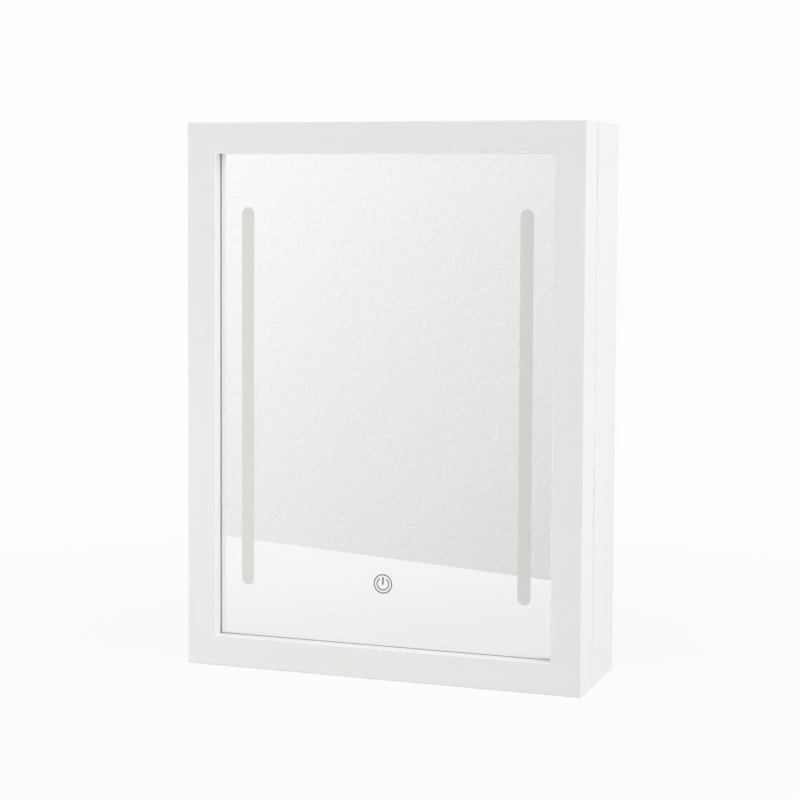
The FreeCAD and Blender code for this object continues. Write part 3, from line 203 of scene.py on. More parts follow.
def hardboard_wire(tree, given):
    """Flecked fibre where the surface faces the bare side, 1 for +Y and -1 for -Y, and white elsewhere."""
    normal = place(tree, "TexCoord").outputs["Normal"]
    facing = place(tree, "SeparateXYZ", {"Vector": normal}).outputs["Y"]
    towards = calc(tree, "MULTIPLY", facing, given["Bare side"])
    bare = calc(tree, "GREATER_THAN", towards, facing_limit)
    flecks = cloud(tree, scale=260.0, detail=6.0, where=stretched(tree, fleck_stretch))
    fibre = tinted(tree, given["Fibre"], spread(tree, flecks, low=0.72, high=1.25))
    colour = between(tree, bare, given["Face"], fibre)
    roughness = spread(tree, cloud(tree, scale=90.0, detail=2.0), low=0.5, high=0.62)
    return colour, roughness, cloud(tree, scale=420.0, detail=4.0)


hardboard = pattern(
    "coated_hardboard",
    {"Face": face_colour, "Fibre": fibre_colour, "Bare side": 1.0},
    hardboard_wire,
)
dress(finish("carcass_back", hardboard, {"Bare side": 1.0}, pebble_height), "back_panel")
dress(finish("door_back", hardboard, {"Bare side": -1.0}, pebble_height), "door_back_panel")

# Dowels of the carcass and of the door: turned beech, glued into the boards' ends.
# The grain runs along X with the dowels, in fine dark pores on pale wood.
pore_depth = 0.00005
beech_grain_stretch = (0.08, 1.0, 1.0)
beech_pore_stretch = (0.05, 1.0, 1.0)


def beech_wire(tree, given):
    """A colour varied by noise drawn out along X, with finer noise of the same kind as the pores."""
    grain = cloud(tree, scale=160.0, detail=5.0, where=stretched(tree, beech_grain_stretch))
    pores = cloud(tree, scale=900.0, detail=2.0, where=stretched(tree, beech_pore_stretch))
    colour = tinted(tree, given["Colour"], spread(tree, grain, low=0.8, high=1.12))
    return colour, spread(tree, pores, low=0.6, high=0.75), pores


beech = pattern("turned_beech", {"Colour": (0.55, 0.35, 0.19, 1.0)}, beech_wire)
dress(finish("beech_dowel", beech, {}, pore_depth), "carcass_dowels", "door_dowels")

# Cam bolts and cam locks of the carcass corners: zinc die castings, left as cast.
# Shelf pins: turned steel, nickel plated, pushed into the rows of holes in the sides.


def metal_wire(tree, given):
    """A colour and a height from the metal's grain, and a roughness with a slow haze added to it."""
    grains = cloud(tree, scale=given["Grain"], detail=3.0)
    colour = tinted(tree, given["Colour"], spread(tree, grains, low=0.93, high=1.04))
    haze = spread(tree, cloud(tree, scale=120.0, detail=3.0), low=-0.06, high=0.06)
    return colour, calc(tree, "ADD", given["Roughness"], haze), grains


metal = pattern(
    "worked_metal",
    {"Colour": (0.6, 0.6, 0.6, 1.0), "Roughness": 0.3, "Grain": 900.0},
    metal_wire,
)
metallic = {"Metallic": 1.0}
cast_height = 0.00004
turned_height = 0.00001
zinc_given = {"Colour": (0.52, 0.53, 0.55, 1.0), "Roughness": 0.42, "Grain": 500.0}
cast_zinc = finish("cast_zinc", metal, zinc_given, cast_height, metallic)
dress(cast_zinc, "cam_bolts", "cam_locks")
nickel_colour = (0.66, 0.63, 0.58, 1.0)
nickel_given = {"Colour": nickel_colour, "Roughness": 0.24, "Grain": 1400.0}
turned_nickel = finish("turned_nickel", metal, nickel_given, turned_height, metallic)
dress(turned_nickel, "shelf_pins")

# Butt hinges: stamped leaves with rolled knuckles on a headed pin, let into the edges at the seam.
# Nickel-plated steel, brushed along the leaf, and held by countersunk screws.
brush_stretch = (1.0, 1.0, 0.03)
brush_height = 0.000012


def brushed_wire(tree, given):
    """Colour, roughness and height all varied by noise drawn out along Z into fine streaks."""
    streaks = cloud(tree, scale=1500.0, detail=3.0, where=stretched(tree, brush_stretch))
    colour = tinted(tree, given["Colour"], spread(tree, streaks, low=0.9, high=1.05))
    haze = spread(tree, streaks, low=-0.05, high=0.07)
    return colour, calc(tree, "ADD", given["Roughness"], haze), streaks


brushed = pattern("brushed_metal", {"Colour": nickel_colour, "Roughness": 0.3}, brushed_wire)
dress(
    finish("brushed_nickel", brushed, {"Colour": nickel_colour}, brush_height, metallic),
    "upper_hinge_carcass_leaf",
    "lower_hinge_carcass_leaf",
    "upper_hinge_door_leaf",
    "lower_hinge_door_leaf",
)
dress(turned_nickel, "upper_hinge_pin", "lower_hinge_pin", "carcass_hinge_screws", "door_hinge_screws")

# Push latch: a white moulded housing screwed to the right side, with a sprung plunger that ends in a
# magnet. The moulding has the fine spark grain of its tool, and the spring is an open coil of steel
# wire that closes up as the plunger goes in.


def moulded_wire(tree, given):
    """A colour dimmed a little in wide clouds, with roughness and height from the spark grain."""
    sparks = cloud(tree, scale=1800.0, detail=1.0)
    drift = spread(tree, cloud(tree, scale=25.0, detail=2.0), low=0.97, high=1.0)
    colour = tinted(tree, given["Colour"], drift)
    haze = spread(tree, sparks, low=-0.05, high=0.05)
    return colour, calc(tree, "ADD", given["Roughness"], haze), sparks


moulded = pattern(
    "moulded_plastic", {"Colour": (0.8, 0.8, 0.79, 1.0), "Roughness": 0.45}, moulded_wire
)
spark_height = 0.00002
dress(finish("white_moulding", moulded, {}, spark_height), "latch_housing", "latch_plunger")
dress(turned_nickel, "latch_screws", "latch_magnet")
spring_given = {"Colour": (0.5, 0.49, 0.47, 1.0), "Grain": 2500.0}
spring_steel = finish("spring_wire", metal, spring_given, turned_height, metallic)
spring_low, spring_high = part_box("latch_spring")
spring_middle = (spring_low + spring_high) / 2
spring_length = spring_high.y - spring_low.y
spring_turns = 5
steps_per_turn = 24
wire_radius = 0.00035
wire_sides = 10
merge_distance = 1e-7


def bands(count, loops):
    """Quads that join each loop of count points to the next one, and the last loop to the first."""
    here = np.arange(count)
    ahead = (here + 1) % count
    starts = count * np.arange(loops)[:, None]
    nexts = np.roll(starts, -1, axis=0)
    quads = np.stack([starts + here, starts + ahead, nexts + ahead, nexts + here], axis=-1)
    return quads.reshape(-1, 4)


def capped(count, loops):
    """Quads that join each loop of count points to the next one, and a face over each end."""
    walls = bands(count, loops)[: count * (loops - 1)]
    cap = np.arange(count)
    return [*walls, cap, cap + count * (loops - 1)]


def add_piece(name, corners, faces, material, smooth=False):
    """A mesh object at the origin from arrays, its doubles merged and its faces turned outwards."""
    mesh = bpy.data.meshes.new(name)
    mesh.from_pydata(corners.tolist(), [], [face.tolist() for face in faces])
    form = bmesh.new()
    form.from_mesh(mesh)
    bmesh.ops.remove_doubles(form, verts=form.verts, dist=merge_distance)
    bmesh.ops.recalc_face_normals(form, faces=form.faces)
    form.to_mesh(mesh)
    form.free()
    mesh.polygons.foreach_set("use_smooth", np.full(len(mesh.polygons), smooth))
    mesh.materials.append(material)
    piece = bpy.data.objects.new(name, mesh)
    bpy.context.scene.collection.objects.link(piece)
    return piece


def coil():
    """An open coil along Y: a circle of the wire's radius carried along a helix.

    At turn t the middle of the wire stands at the coil's radius from the axis and climbs evenly. The
    section lies in the plane of the outward direction and of its cross product with the helix's tangent.
    """
    steps = steps_per_turn * spring_turns + 1
    radius = (spring_high.x - spring_low.x) / 2 - wire_radius
    turn = np.linspace(0, 2 * math.pi * spring_turns, steps)[:, None]
    climb = (spring_length - 2 * wire_radius) / (2 * math.pi * spring_turns)
    outward = np.concatenate([np.cos(turn), 0 * turn, np.sin(turn)], axis=1)
    tangent = np.concatenate([-radius * np.sin(turn), climb + 0 * turn, radius * np.cos(turn)], axis=1)
    tangent /= np.linalg.norm(tangent, axis=1, keepdims=True)
    across = np.cross(tangent, outward)
    start = np.array([spring_middle.x, spring_low.y + wire_radius, spring_middle.z])
    axis = np.array([0.0, 1.0, 0.0])
    line = start + radius * outward + climb * turn * axis
    angle = np.linspace(0, 2 * math.pi, wire_sides, endpoint=False)[None, :, None]
    section = np.cos(angle) * outward[:, None] + np.sin(angle) * across[:, None]
    tube = line[:, None] + wire_radius * section
    return tube.reshape(-1, 3), capped(wire_sides, steps)


spring = add_piece("latch_coil", *coil(), spring_steel, smooth=True)
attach(spring, "carcass")
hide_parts("latch_spring")
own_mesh(spring)

# Door bumpers: clear polyurethane dots with a sticky back, smooth from their mould.
# They are pressed onto the carcass's edge at the closing side and take the knock of the door.
bumper_given = {"Colour": (0.78, 0.8, 0.8, 1.0), "Roughness": 0.18}
bumper_sockets = {"Transmission Weight": 0.5, "IOR": 1.48}
smooth_height = 0.000005
dress(finish("clear_bumper", moulded, bumper_given, smooth_height, bumper_sockets), "door_bumpers")

# Seam shade strips: two lengths of thin black felt stuck to the right side's front edge, as painted shade.
# They stand in for the shadow in the door's seam, and show as a dark line over two stretches of the gap.
side_low, side_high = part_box("right_side_panel")
door_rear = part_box("door_right_wall")[1].y
felt_inset = 0.00005
felt_width = 0.004
felt_clearance = 0.00012
felt_corner = 0.0003
felt_end_share = 0.9
felt_round_power = 0.12
felt_outline_steps = 48
fibre_height = 0.0001


def felt_wire(tree, given):
    """Colour, roughness and height all varied by the finest fibres."""
    fibres = cloud(tree, scale=3000.0, detail=4.0)
    colour = tinted(tree, given["Colour"], spread(tree, fibres, low=0.6, high=1.4))
    return colour, spread(tree, fibres, low=0.85, high=0.98), fibres


felt = pattern("pressed_felt", {"Colour": (0.04, 0.04, 0.042, 1.0)}, felt_wire)
seam_shade_felt = finish("seam_shade_felt", felt, {}, fibre_height)


def seam_shade_strip(name, low, high):
    """A soft-edged strip: a rounded rectangle in plan, carried up from low to high in z.

    A point of the outline at turn t stands on a superellipse: the cosine and the sine, each raised to the
    same small power with its sign kept. The outline is drawn in a little at both ends.
    """
    turn = np.linspace(0, 2 * math.pi, felt_outline_steps, endpoint=False)
    half = np.array([felt_width / 2, (side_low.y - door_rear - felt_clearance) / 2])
    middle = np.array([side_high.x - felt_inset - half[0], side_low.y - half[1]])
    wave = np.stack([np.cos(turn), np.sin(turn)], axis=1)
    outline = half * np.sign(wave) * np.abs(wave) ** felt_round_power
    levels = np.array([low, low + felt_corner, high - felt_corner, high])
    shares = np.array([felt_end_share, 1.0, 1.0, felt_end_share])
    rings = middle + outline[None] * shares[:, None, None]
    heights = np.broadcast_to(levels[:, None, None], (len(levels), len(turn), 1))
    corners = np.concatenate([rings, heights], axis=2).reshape(-1, 3)
    strip = add_piece(name, corners, capped(len(turn), len(levels)), seam_shade_felt, smooth=True)
    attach(strip, "carcass")


# Painted shade: dark strips where the seam is only in shadow.
seam_shade_strip("upper_seam_shade_strip", low=0.515, high=0.5985)
seam_shade_strip("lower_seam_shade_strip", low=0.173, high=0.237)

# Door: a picture frame cut from one board, glued to four box walls behind it.
# The same spray as the carcass, with one more coat on the face, so the peel is finer.
# The frame's inner edges are painted a brighter white, as painted light that stands in for the light the
# reveals catch.
door_given = {"Colour": board_colour, "Drift": 0.012, "Peel": 800.0, "Roughness": 0.38}
painted_light_edge_colour = (0.95, 0.945, 0.93, 1.0)
frame_low, frame_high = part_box("door_front_frame")
frame_middle = (frame_low + frame_high) / 2
upright_plane = (1.0, 0.0, 1.0)
inner_limit = -0.05


def vector_calc(tree, operation, first, second, result="Vector"):
    """The result of one Vector Math node on two vectors or sockets; a dot product's result is a Value."""
    return place(tree, "VectorMath", {0: first, 1: second}, operation=operation).outputs[result]


def edged_wire(tree, given):
    """The lacquer, in its edge colour wherever the surface faces the frame's middle in x and z.

    There the normal and the offset from the middle point opposite ways, so their dot product is negative.
    """
    spot = place(tree, "TexCoord").outputs
    offset = vector_calc(tree, "SUBTRACT", spot["Object"], frame_middle)
    aside = vector_calc(tree, "MULTIPLY", offset, upright_plane)
    away = vector_calc(tree, "DOT_PRODUCT", spot["Normal"], aside, result="Value")
    inner = calc(tree, "LESS_THAN", away, inner_limit)
    colour, roughness, height = lacquer_wire(tree, given)
    # Painted light: the inner edges take a brighter white in place of the light that falls on them.
    return between(tree, inner, colour, given["Edge"]), roughness, height


edged = pattern("edged_lacquer", {**lacquer_inputs, "Edge": painted_light_edge_colour}, edged_wire)
dress(finish("frame_lacquer", edged, door_given, peel_height), "door_front_frame")
dress(
    finish("door_lacquer", lacquer, door_given, peel_height),
    "door_left_wall",
    "door_right_wall",
    "door_top_wall",
    "door_bottom_wall",
)

# Foam tape between the frame and the mirror: dark grey closed-cell foam with glue on both faces.
# The pane is pressed on it. Its dark grey is partly the tape's own colour and partly painted shade of the
# narrow gap, and its edge shows as a dark line at the glass.
cell_height = 0.0001


def foam_wire(tree, given):
    """Colour, roughness and height all varied by the distance to the middle of the nearest cell."""
    where = place(tree, "TexCoord").outputs["Object"]
    cells = place(tree, "TexVoronoi", {"Vector": where, "Scale": 1500.0}).outputs["Distance"]
    colour = tinted(tree, given["Colour"], spread(tree, cells, low=0.7, high=1.3))
    return colour, spread(tree, cells, low=0.85, high=0.95), cells


# Partly painted shade: the foam is dark so that the gap at the glass reads as shadow.
foam = pattern("closed_cell_foam", {"Colour": (0.2, 0.2, 0.205, 1.0)}, foam_wire)
dress(finish("foam_tape", foam, {}, cell_height), "mirror_tape")

# Mirror: one pane of silvered glass, lying on the tape, with two stadium-shaped windows left clear.
# It stands for the glass and its silvering together, as a sheet with two slots through it.
tiny = 1e-9
window_arc_steps = 25
flat_height = 0.0


def slotted_bay(node, low, high, arc_steps):
    """Two loops of (x, z) points: the stadium edge of a window, and the sides of the bay round it.

    Each half-round end is a circle about the end of the window's middle line. A point of the edge goes
    straight outwards to the bay's side, and the ends' turns include those that meet the bay's corners.
    """
    first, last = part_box(node)
    radius = (last.x - first.x) / 2
    edges, rims = [], []
    for start, height, side in ((0.0, last.z - radius, high[1]), (math.pi, first.z + radius, low[1])):
        centre = np.array([first.x + radius, height])
        corners = np.array([[low[0], side], [high[0], side]]) - centre
        to_corners = np.arctan2(corners[:, 1], corners[:, 0]) % (2 * math.pi)
        turn = np.sort(np.append(np.linspace(start, start + math.pi, arc_steps), to_corners))
        outward = np.stack([np.cos(turn), np.sin(turn)], axis=1)
        edge = centre + radius * outward
        limits = np.where(outward > 0, high, low)
        slant = np.where(np.abs(outward) > tiny, outward, tiny)
        reach = np.abs((limits - edge) / slant).min(axis=1, keepdims=True)
        edges.append(edge)
        rims.append(edge + outward * reach)
    return np.concatenate(edges), np.concatenate(rims)


def upright(points, y):
    """(x, z) points stood up at a depth y."""
    return np.insert(points, 1, y, axis=1)


def silver_wire(tree, given):
    """A colour and a roughness that both vary slightly in wide clouds; the pane itself is flat."""
    haze = cloud(tree, scale=9.0, detail=3.0)
    colour = tinted(tree, given["Colour"], spread(tree, haze, low=0.995, high=1.0))
    return colour, spread(tree, haze, low=0.0, high=given["Roughness"]), haze


silver = pattern("silvered_glass", {"Colour": (0.92, 0.922, 0.92, 1.0), "Roughness": 0.006}, silver_wire)
pane_low, pane_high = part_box("mirror_glass")
pane_front = pane_low.y
pane_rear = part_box("mirror_silvering")[1].y
pane_corners, pane_faces, window_edges = [], [], {}
for window, bay_low, bay_high in (
    ("left_light_window", pane_low.x, 0.0),
    ("right_light_window", 0.0, pane_high.x),
):
    edge, rim = slotted_bay(window, (bay_low, pane_low.z), (bay_high, pane_high.z), window_arc_steps)
    window_edges[window] = edge
    fronts = [upright(loop, pane_front) for loop in (edge, rim)]
    rears = [upright(loop, pane_rear) for loop in (rim, edge)]
    loops = fronts + rears
    corners = np.concatenate(loops)
    quads = bands(len(edge), len(loops))
    inside = (np.abs(corners[quads][..., 0]) < tiny).all(axis=1)
    pane_faces.append(quads[~inside] + sum(map(len, pane_corners)))
    pane_corners.append(corners)
mirror = add_piece(
    "mirror_pane",
    np.concatenate(pane_corners),
    np.concatenate(pane_faces),
    finish("silvered_glass", silver, {}, flat_height, metallic),
)
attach(mirror, "door")
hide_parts("mirror_glass", "mirror_silvering")

# Light windows: the two slots in the silvering, filled by frosted glass that spreads the light behind.
# Unlit, they are a matt pale grey under the gloss of the pane.
frost_height = 0.000004
gloss_coat = {"Coat Weight": 1.0, "Coat Roughness": 0.03}
window_colour = (0.712, 0.706, 0.682, 1.0)


def frosted_wire(tree, given):
    """Colour, roughness and height all varied by the grit of the etching."""
    grit = cloud(tree, scale=2600.0, detail=2.0)
    colour = tinted(tree, given["Colour"], spread(tree, grit, low=0.98, high=1.02))
    return colour, spread(tree, grit, low=0.55, high=0.7), grit


frosted = pattern("frosted_glass", {"Colour": (0.7, 0.7, 0.69, 1.0)}, frosted_wire)
window_glass = finish("window_glass", frosted, {"Colour": window_colour}, frost_height, gloss_coat)
for window, edge in window_edges.items():
    loops = [upright(edge, pane_front), upright(edge, pane_rear)]
    faces = capped(len(edge), len(loops))
    plug = add_piece(window.replace("window", "strip"), np.concatenate(loops), faces, window_glass)
    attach(plug, "door")
    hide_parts(window)

# Touch symbol: a ring, an open arc and a stem, etched into the pane over the touch sensor.
# Each line is a low crowned bead let into the glass, so that it keeps its own edge from every side.
symbol_line = 0.00135
symbol_crown = 0.00006
symbol_offset = 0.0003
symbol_colour = (0.17, 0.17, 0.168, 1.0)
bead_sides = 16
sensor_low, sensor_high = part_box("touch_sensor_board")
symbol_x = (sensor_low.x + sensor_high.x) / 2 + symbol_offset
symbol_z = (sensor_low.z + sensor_high.z) / 2
etched = finish("etched_line", frosted, {"Colour": symbol_colour}, frost_height, gloss_coat)


def bead(name, middle, across, width, endless=False):
    """A low crowned line: a flat ellipse, width wide, carried along middle with across as its side.

    At turn t round the section a point stands cos(t) half widths to the side and sin(t) crowns proud of
    the pane, so that its lower half is sunk in the glass. The crown narrows with the width at an end.
    """
    turn = np.linspace(0, 2 * math.pi, bead_sides, endpoint=False)
    aside = np.cos(turn) * width[:, None] / 2
    proud = np.sin(turn) * symbol_crown * (width / width.max())[:, None]
    spots = middle[:, None] + across[:, None] * aside[..., None]
    corners = np.stack([spots[..., 0], pane_front - proud, spots[..., 1]], axis=-1)
    walls = bands(bead_sides, len(middle))
    if not endless:
        walls = walls[:-bead_sides]
    piece = add_piece(name, corners.reshape(-1, 3), walls, etched, smooth=True)
    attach(piece, "door")


def round_ended(length, steps):
    """Shares along a line, drawn closer at its ends, and the width there, which closes in a half circle.

    At a depth d, which goes from 0 at half a width inside the end to 1 at the end, the width is the
    line's own times the root of 1 - d * d.
    """
    along = length * (1 - np.cos(np.linspace(0, math.pi, steps))) / 2
    inset = np.minimum(along, length - along)
    depth = np.clip(1 - inset / (symbol_line / 2), 0, 1)
    return along / length, symbol_line * np.sqrt(1 - depth**2)


def symbol_arc(name, radius, turn, width, endless=False):
    """A bead along a circle about the symbol's middle, at each turn in radians from +X."""
    outward = np.stack([np.cos(turn), np.sin(turn)], axis=1)
    bead(name, np.array([symbol_x, symbol_z]) + radius * outward, outward, width, endless)


ring_radius = 0.010
ring_steps = 96
ring_turn = np.linspace(0, 2 * math.pi, ring_steps, endpoint=False)
symbol_arc("symbol_ring", ring_radius, ring_turn, np.full(ring_steps, symbol_line), endless=True)
arc_radius = 0.00665
arc_opening = math.radians(31)
arc_sweep = 2 * (math.pi - arc_opening)
open_arc_steps = 81
shares, width = round_ended(arc_radius * arc_sweep, open_arc_steps)
symbol_arc("symbol_arc", arc_radius, math.pi / 2 + arc_opening + arc_sweep * shares, width)
stem_width_share = 1.4
stem_drop = 0.001
stem_rise = 0.0076
stem_length = stem_drop + stem_rise
stem_steps = 41
shares, width = round_ended(stem_length, stem_steps)
stem_z = symbol_z - stem_drop + stem_length * shares
stem = np.stack([np.full(stem_steps, symbol_x), stem_z], axis=1)
stem_side = np.tile([1.0, 0.0], (stem_steps, 1))
bead("symbol_stem", stem, stem_side, width * stem_width_share)

# Mirror clips: strips of zinc-plated steel, bent twice, that press the pane on the tape.
# Each is held to the back of the frame by a pan-headed screw.
plated_given = {"Colour": (0.6, 0.6, 0.58, 1.0), "Roughness": 0.34}
zinc_plate = finish("zinc_plate", brushed, plated_given, brush_height, metallic)
dress(zinc_plate, "mirror_clips", "clip_screws")

# Light channels: extruded aluminium, drawn along Z, with an opal strip on their ledges.
# Each holds a white circuit strip with a row of pale yellow light-emitting diodes.
channel_given = {"Colour": (0.74, 0.75, 0.76, 1.0), "Roughness": 0.38}
drawn_aluminium = finish("drawn_aluminium", brushed, channel_given, brush_height, metallic)
dress(drawn_aluminium, "left_led_channel", "right_led_channel")
opal_given = {"Colour": (0.85, 0.85, 0.84, 1.0), "Roughness": 0.4}
opal_sockets = {"Subsurface Weight": 0.3, "Subsurface Radius": (0.004, 0.004, 0.004)}
opal_height = 0.00001
opal_acrylic = finish("opal_acrylic", moulded, opal_given, opal_height, opal_sockets)
dress(opal_acrylic, "left_diffuser", "right_diffuser")


def circuit_wire(tree, given):
    """The solder mask's colour, with tracks under it that show as the joints of a brick pattern."""
    where = place(tree, "TexCoord").outputs["Object"]
    brick_feeds = {"Vector": where, "Scale": 90.0, "Mortar Size": 0.03}
    tracks = place(tree, "TexBrick", brick_feeds).outputs["Fac"]
    drift = spread(tree, cloud(tree, scale=300.0, detail=2.0), low=0.95, high=1.0)
    colour = between(tree, tracks, tinted(tree, given["Mask"], drift), given["Track"])
    return colour, spread(tree, tracks, low=0.4, high=0.3), tracks


circuit = pattern(
    "solder_mask", {"Mask": (0.74, 0.76, 0.72, 1.0), "Track": (0.6, 0.62, 0.56, 1.0)}, circuit_wire
)
track_height = 0.00003
dress(finish("white_circuit", circuit, {}, track_height), "left_led_board", "right_led_board")
diode_given = {"Colour": (0.8, 0.66, 0.2, 1.0), "Roughness": 0.3}
dress(finish("diode_phosphor", moulded, diode_given, spark_height), "left_leds", "right_leds")

# Touch sensor: a black moulded case stuck to the back of the pane behind the symbol.
# It holds a small green circuit board that feels a finger through the glass.
black_given = {"Colour": (0.016, 0.016, 0.017, 1.0), "Roughness": 0.5}
dress(finish("black_moulding", moulded, black_given, spark_height), "touch_sensor_case")
green_given = {"Mask": (0.03, 0.14, 0.06, 1.0), "Track": (0.07, 0.22, 0.1, 1.0)}
dress(finish("green_circuit", circuit, green_given, track_height), "touch_sensor_board")

# Battery box: a white moulded tray let into the door's back, with a ribbed sliding cover.
# Four plain cells stand in it in a row, every second one turned end for end, between domed contacts
# of plated steel.
tray_given = {"Colour": (0.7, 0.7, 0.685, 1.0), "Roughness": 0.5}
dress(finish("tray_moulding", moulded, tray_given, spark_height), "battery_tray", "battery_cover")
battery_low, battery_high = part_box("battery_cells")
battery_middle = (battery_low + battery_high) / 2
band_half = 0.012
end_limit = 0.3


def upward(tree, vector):
    """The Z part of a vector."""
    return place(tree, "SeparateXYZ", {"Vector": vector}).outputs["Z"]


def unsigned(tree, value):
    """A value without its sign."""
    return place(tree, "Math", {0: value}, operation="ABSOLUTE").outputs[0]


def cell_wire(tree, given):
    """A dark jacket with a paler band at half height, and bare metal where the surface faces up or down."""
    spot = place(tree, "TexCoord").outputs
    off_middle = calc(tree, "SUBTRACT", upward(tree, spot["Object"]), battery_middle.z)
    band = calc(tree, "LESS_THAN", unsigned(tree, off_middle), band_half)
    end = calc(tree, "GREATER_THAN", unsigned(tree, upward(tree, spot["Normal"])), end_limit)
    jacket = between(tree, band, given["Jacket"], given["Band"])
    colour = between(tree, end, jacket, given["End"])
    roughness = spread(tree, cloud(tree, scale=80.0, detail=2.0), low=0.25, high=0.38)
    return colour, roughness, cloud(tree, scale=1200.0, detail=1.0)


cell_inputs = {
    "Jacket": (0.015, 0.017, 0.02, 1.0),
    "Band": (0.11, 0.16, 0.2, 1.0),
    "End": (0.55, 0.55, 0.53, 1.0),
}
cell = pattern("cell_jacket", cell_inputs, cell_wire)
dress(finish("cell_jacket", cell, {}, smooth_height), "battery_cells")
contact_given = {"Colour": (0.7, 0.69, 0.66, 1.0), "Roughness": 0.2, "Grain": 1800.0}
dress(finish("plated_contact", metal, contact_given, turned_height, metallic), "battery_contacts")

# Leads inside the door: fine wires in a pale flexible sheath.
# They run from the battery box to the sensor and on to each light channel.
lead_given = {"Colour": (0.62, 0.62, 0.6, 1.0), "Roughness": 0.55}
lead_sheath = finish("lead_sheath", moulded, lead_given, spark_height)
dress(lead_sheath, "left_lead", "right_lead", "battery_lead")

# Strike plate: a thin disc of zinc-plated steel with a satin, brushed face.
# It is stuck to the door's back, where the latch's magnet meets it and holds the door.
strike_given = {"Colour": (0.45, 0.45, 0.44, 1.0), "Roughness": 0.36}
dress(finish("satin_zinc", brushed, strike_given, brush_height, metallic), "strike_plate")

# Floor: a plain pale studio floor under the cabinet, which keeps a soft shadow near it.
# Seen by the camera or in the mirror it is lifted towards the white of the surround.
# In the mirror its tone rises to the left and to the front as painted light and shade, and has a least
# value.
surround_white = 0.983
floor_colour = (0.92, 0.92, 0.915, 1.0)
floor_lift = {"From Min": 0.35, "From Max": 0.95, "To Min": 0.9, "To Max": 1.0}
floor_painted_shade_slope = (-0.117, -0.093, 0.0)
floor_middle_tone = 0.905
floor_least_tone = 0.88
floor_half = 12.0


def seen_plainly(tree):
    """1 for rays from the camera, or from gloss and glass, and 0 for the rays that light the object."""
    ray = place(tree, "LightPath").outputs
    direct = calc(tree, "MAXIMUM", ray["Is Camera Ray"], ray["Is Glossy Ray"])
    return calc(tree, "MAXIMUM", direct, ray["Is Transmission Ray"])


def bare_material(name):
    """A material with an empty node tree."""
    material = bpy.data.materials.new(name)
    material.use_nodes = True
    material.node_tree.nodes.clear()
    return material


floor_material = bare_material("studio_floor")
tree = floor_material.node_tree
where = place(tree, "TexCoord").outputs["Object"]
reach = place(tree, "VectorMath", {0: where}, operation="LENGTH").outputs["Value"]
lift = place(tree, "MapRange", {"Value": reach, **floor_lift}).outputs["Result"]
seen_lift = calc(tree, "MULTIPLY", seen_plainly(tree), lift)
matt = place(tree, "BsdfDiffuse", {"Color": floor_colour}).outputs[0]
# Painted light and shade: the floor seen in the mirror darkens towards the cabinet and to the right.
slope = vector_calc(tree, "DOT_PRODUCT", where, floor_painted_shade_slope, result="Value")
sloped = place(tree, "Math", {0: slope, 1: floor_middle_tone}, operation="ADD", use_clamp=True).outputs[0]
mirrored_painted_shade_tone = calc(tree, "MAXIMUM", sloped, floor_least_tone)
# A Mix node's plain values are its inputs 2 and 3.
from_camera = place(tree, "LightPath").outputs["Is Camera Ray"]
tone = place(tree, "Mix", {0: from_camera, 2: mirrored_painted_shade_tone, 3: surround_white}).outputs[0]
glow = place(tree, "Emission", {"Strength": tone}).outputs[0]
mixed = place(tree, "MixShader", {0: seen_lift, 1: matt, 2: glow}).outputs[0]
place(tree, "OutputMaterial", {"Surface": mixed})
floor_sides = np.array([[-1, -1], [1, -1], [1, 1], [-1, 1]]) * floor_half
floor_corners = np.insert(floor_sides, 2, cad_box[0].z, axis=1)
floor = add_piece("studio_floor", floor_corners, [np.arange(4)], floor_material)

# Room wall that the mirror faces: pale roughcast plaster, seen only as a reflection in the pane.
# Its tone falls off evenly to the right and downwards as painted light, and its relief is painted lit and
# shaded from one side.
wall_foot_left = np.array([-0.527, -0.811])
wall_foot_right = np.array([0.025, -0.649])
wall_reach = np.array([[-9.0], [0.35]])
wall_height = 2.4
wall_painted_light_slope = (-0.246, 0.0, 0.241)
wall_middle_tone = 0.775
wall_least_tone = 0.68
wall_most_tone = 1.06
plaster_tint = (1.0, 1.003, 0.985)
plaster_scale = 100.0
plaster_detail = 3.0
plaster_contrast = 0.22
painted_light_shift = (0.0014, 0.0, -0.0014)
wall_material = bare_material("room_plaster")
tree = wall_material.node_tree
where = place(tree, "TexCoord").outputs["Object"]
fall = vector_calc(tree, "DOT_PRODUCT", where, wall_painted_light_slope, result="Value")
raised_tone = calc(tree, "MAXIMUM", calc(tree, "ADD", fall, wall_middle_tone), wall_least_tone)
painted_light_tone = calc(tree, "MINIMUM", raised_tone, wall_most_tone)
painted_light_spot = vector_calc(tree, "ADD", where, painted_light_shift)
grain = cloud(tree, plaster_scale, plaster_detail)
# Painted light and shade: the grain less a shifted copy of itself, so the bumps read as lit from one side.
relief = calc(tree, "SUBTRACT", grain, cloud(tree, plaster_scale, plaster_detail, painted_light_spot))
tone = calc(tree, "ADD", painted_light_tone, calc(tree, "MULTIPLY", relief, plaster_contrast))
glow = place(tree, "Emission", {"Color": tinted(tree, plaster_tint, tone)}).outputs[0]
place(tree, "OutputMaterial", {"Surface": glow})
run = (wall_foot_right - wall_foot_left) / np.linalg.norm(wall_foot_right - wall_foot_left)
feet = np.array([wall_foot_left, wall_foot_right]) + wall_reach * run
wall_levels = np.array([0.0, 0.0, wall_height, wall_height])
wall_corners = np.column_stack([feet[[0, 1, 1, 0]], wall_levels])
wall = add_piece("room_wall", wall_corners, [np.arange(4)], wall_material)
wall.visible_camera = False
wall.visible_diffuse = False
wall.visible_transmission = False
wall.visible_shadow = False

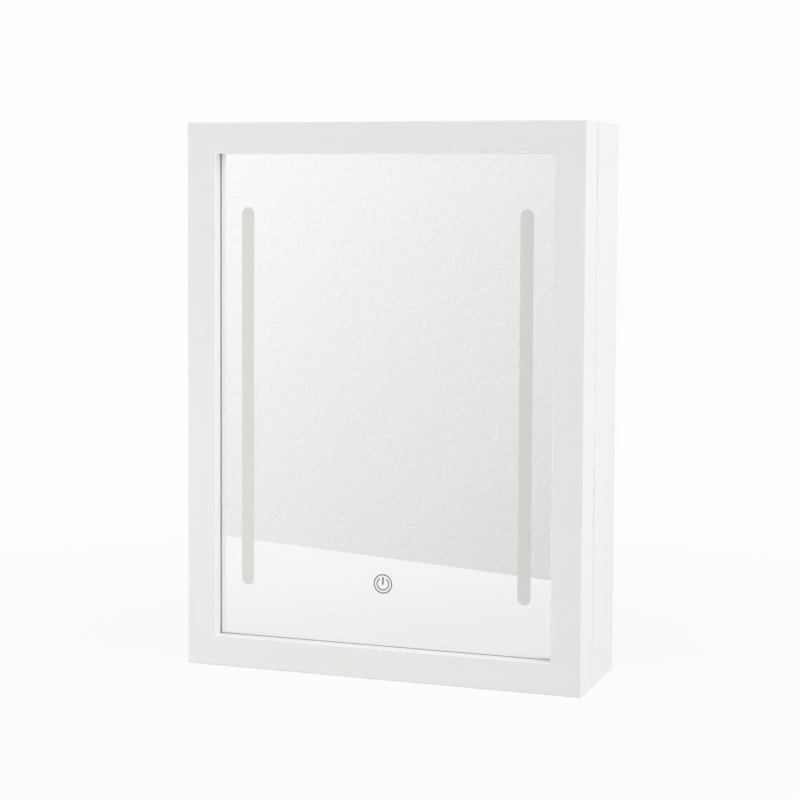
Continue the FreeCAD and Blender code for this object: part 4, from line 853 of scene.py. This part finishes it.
# Studio light: an even pale surround, with large soft sources high at the right, high at the left,
# overhead and behind, and two long low ones near the floor that lift the lower front and right side.
surround_light = 0.3
plain_white = (1.0, 1.0, 1.0, 1.0)
world = bpy.data.worlds.new("surround")
bpy.context.scene.world = world
world.use_nodes = True
tree = world.node_tree
tree.nodes.clear()
even = place(tree, "Background", {"Color": plain_white, "Strength": surround_light}).outputs[0]
white = place(tree, "Background", {"Color": plain_white, "Strength": surround_white}).outputs[0]
mixed = place(tree, "MixShader", {0: seen_plainly(tree), 1: even, 2: white}).outputs[0]
place(tree, "OutputWorld", {"Surface": mixed})
cabinet_middle = (cad_box[0] + cad_box[1]) / 2


def soft_source(name, spot, power, width, height, mirrored=True):
    """An area light at a spot, aimed at the cabinet's middle, that gloss shows unless told not to."""
    lamp = bpy.data.lights.new(name, "AREA")
    lamp.shape = "RECTANGLE"
    lamp.size = width
    lamp.size_y = height
    lamp.energy = power
    holder = bpy.data.objects.new(name, lamp)
    aim = (cabinet_middle - Vector(spot)).to_track_quat("-Z", "Y")
    holder.matrix_world = Matrix.Translation(spot) @ aim.to_matrix().to_4x4()
    holder.visible_camera = False
    holder.visible_glossy = mirrored
    bpy.context.scene.collection.objects.link(holder)


soft_source("right_source", (1.9, -0.6, 1.6), power=29.3, width=2.4, height=2.2)
soft_source("left_high", (-1.3, -1.0, 1.5), power=5.3, width=1.4, height=1.4)
soft_source("floor_left", (-0.7, -0.9, 0.08), power=2.7, width=1.0, height=0.14, mirrored=False)
soft_source("floor_right", (1.3, -0.2, 0.1), power=2.2, width=1.0, height=0.18, mirrored=False)
soft_source("overhead_source", (-0.2, -0.6, 2.1), power=9.0, width=2.0, height=1.6)
soft_source("rear_source", (-1.0, 1.9, 1.4), power=16.0, width=2.2, height=2.2)

# Camera: a long lens, right of the middle and slightly above it, as the photograph was taken.
# A small shift keeps the cabinet in the frame while its uprights stay nearly parallel.
camera_spot = (0.7296, -2.0848, 0.5264)
camera_yaw = math.radians(-19.32)
camera_pitch = math.radians(3.667)
camera_roll = math.radians(0.298)
level_ahead = Vector((math.sin(camera_yaw), math.cos(camera_yaw), 0))
level_right = Vector((math.cos(camera_yaw), -math.sin(camera_yaw), 0))
plumb = Vector((0, 0, 1))
ahead = level_ahead * math.cos(camera_pitch) - plumb * math.sin(camera_pitch)
tilted = plumb * math.cos(camera_pitch) + level_ahead * math.sin(camera_pitch)
right = level_right * math.cos(camera_roll) + tilted * math.sin(camera_roll)
up = tilted * math.cos(camera_roll) - level_right * math.sin(camera_roll)
lens = bpy.data.cameras.new("camera")
lens.lens = 90.6
lens.sensor_width = 36.0
lens.shift_y = -0.1
camera = bpy.data.objects.new("camera", lens)
turned = Matrix((right, up, -ahead)).transposed().to_4x4()
camera.matrix_world = Matrix.Translation(camera_spot) @ turned
bpy.context.scene.collection.objects.link(camera)
bpy.context.scene.camera = camera
bpy.context.scene.view_settings.view_transform = "Standard"
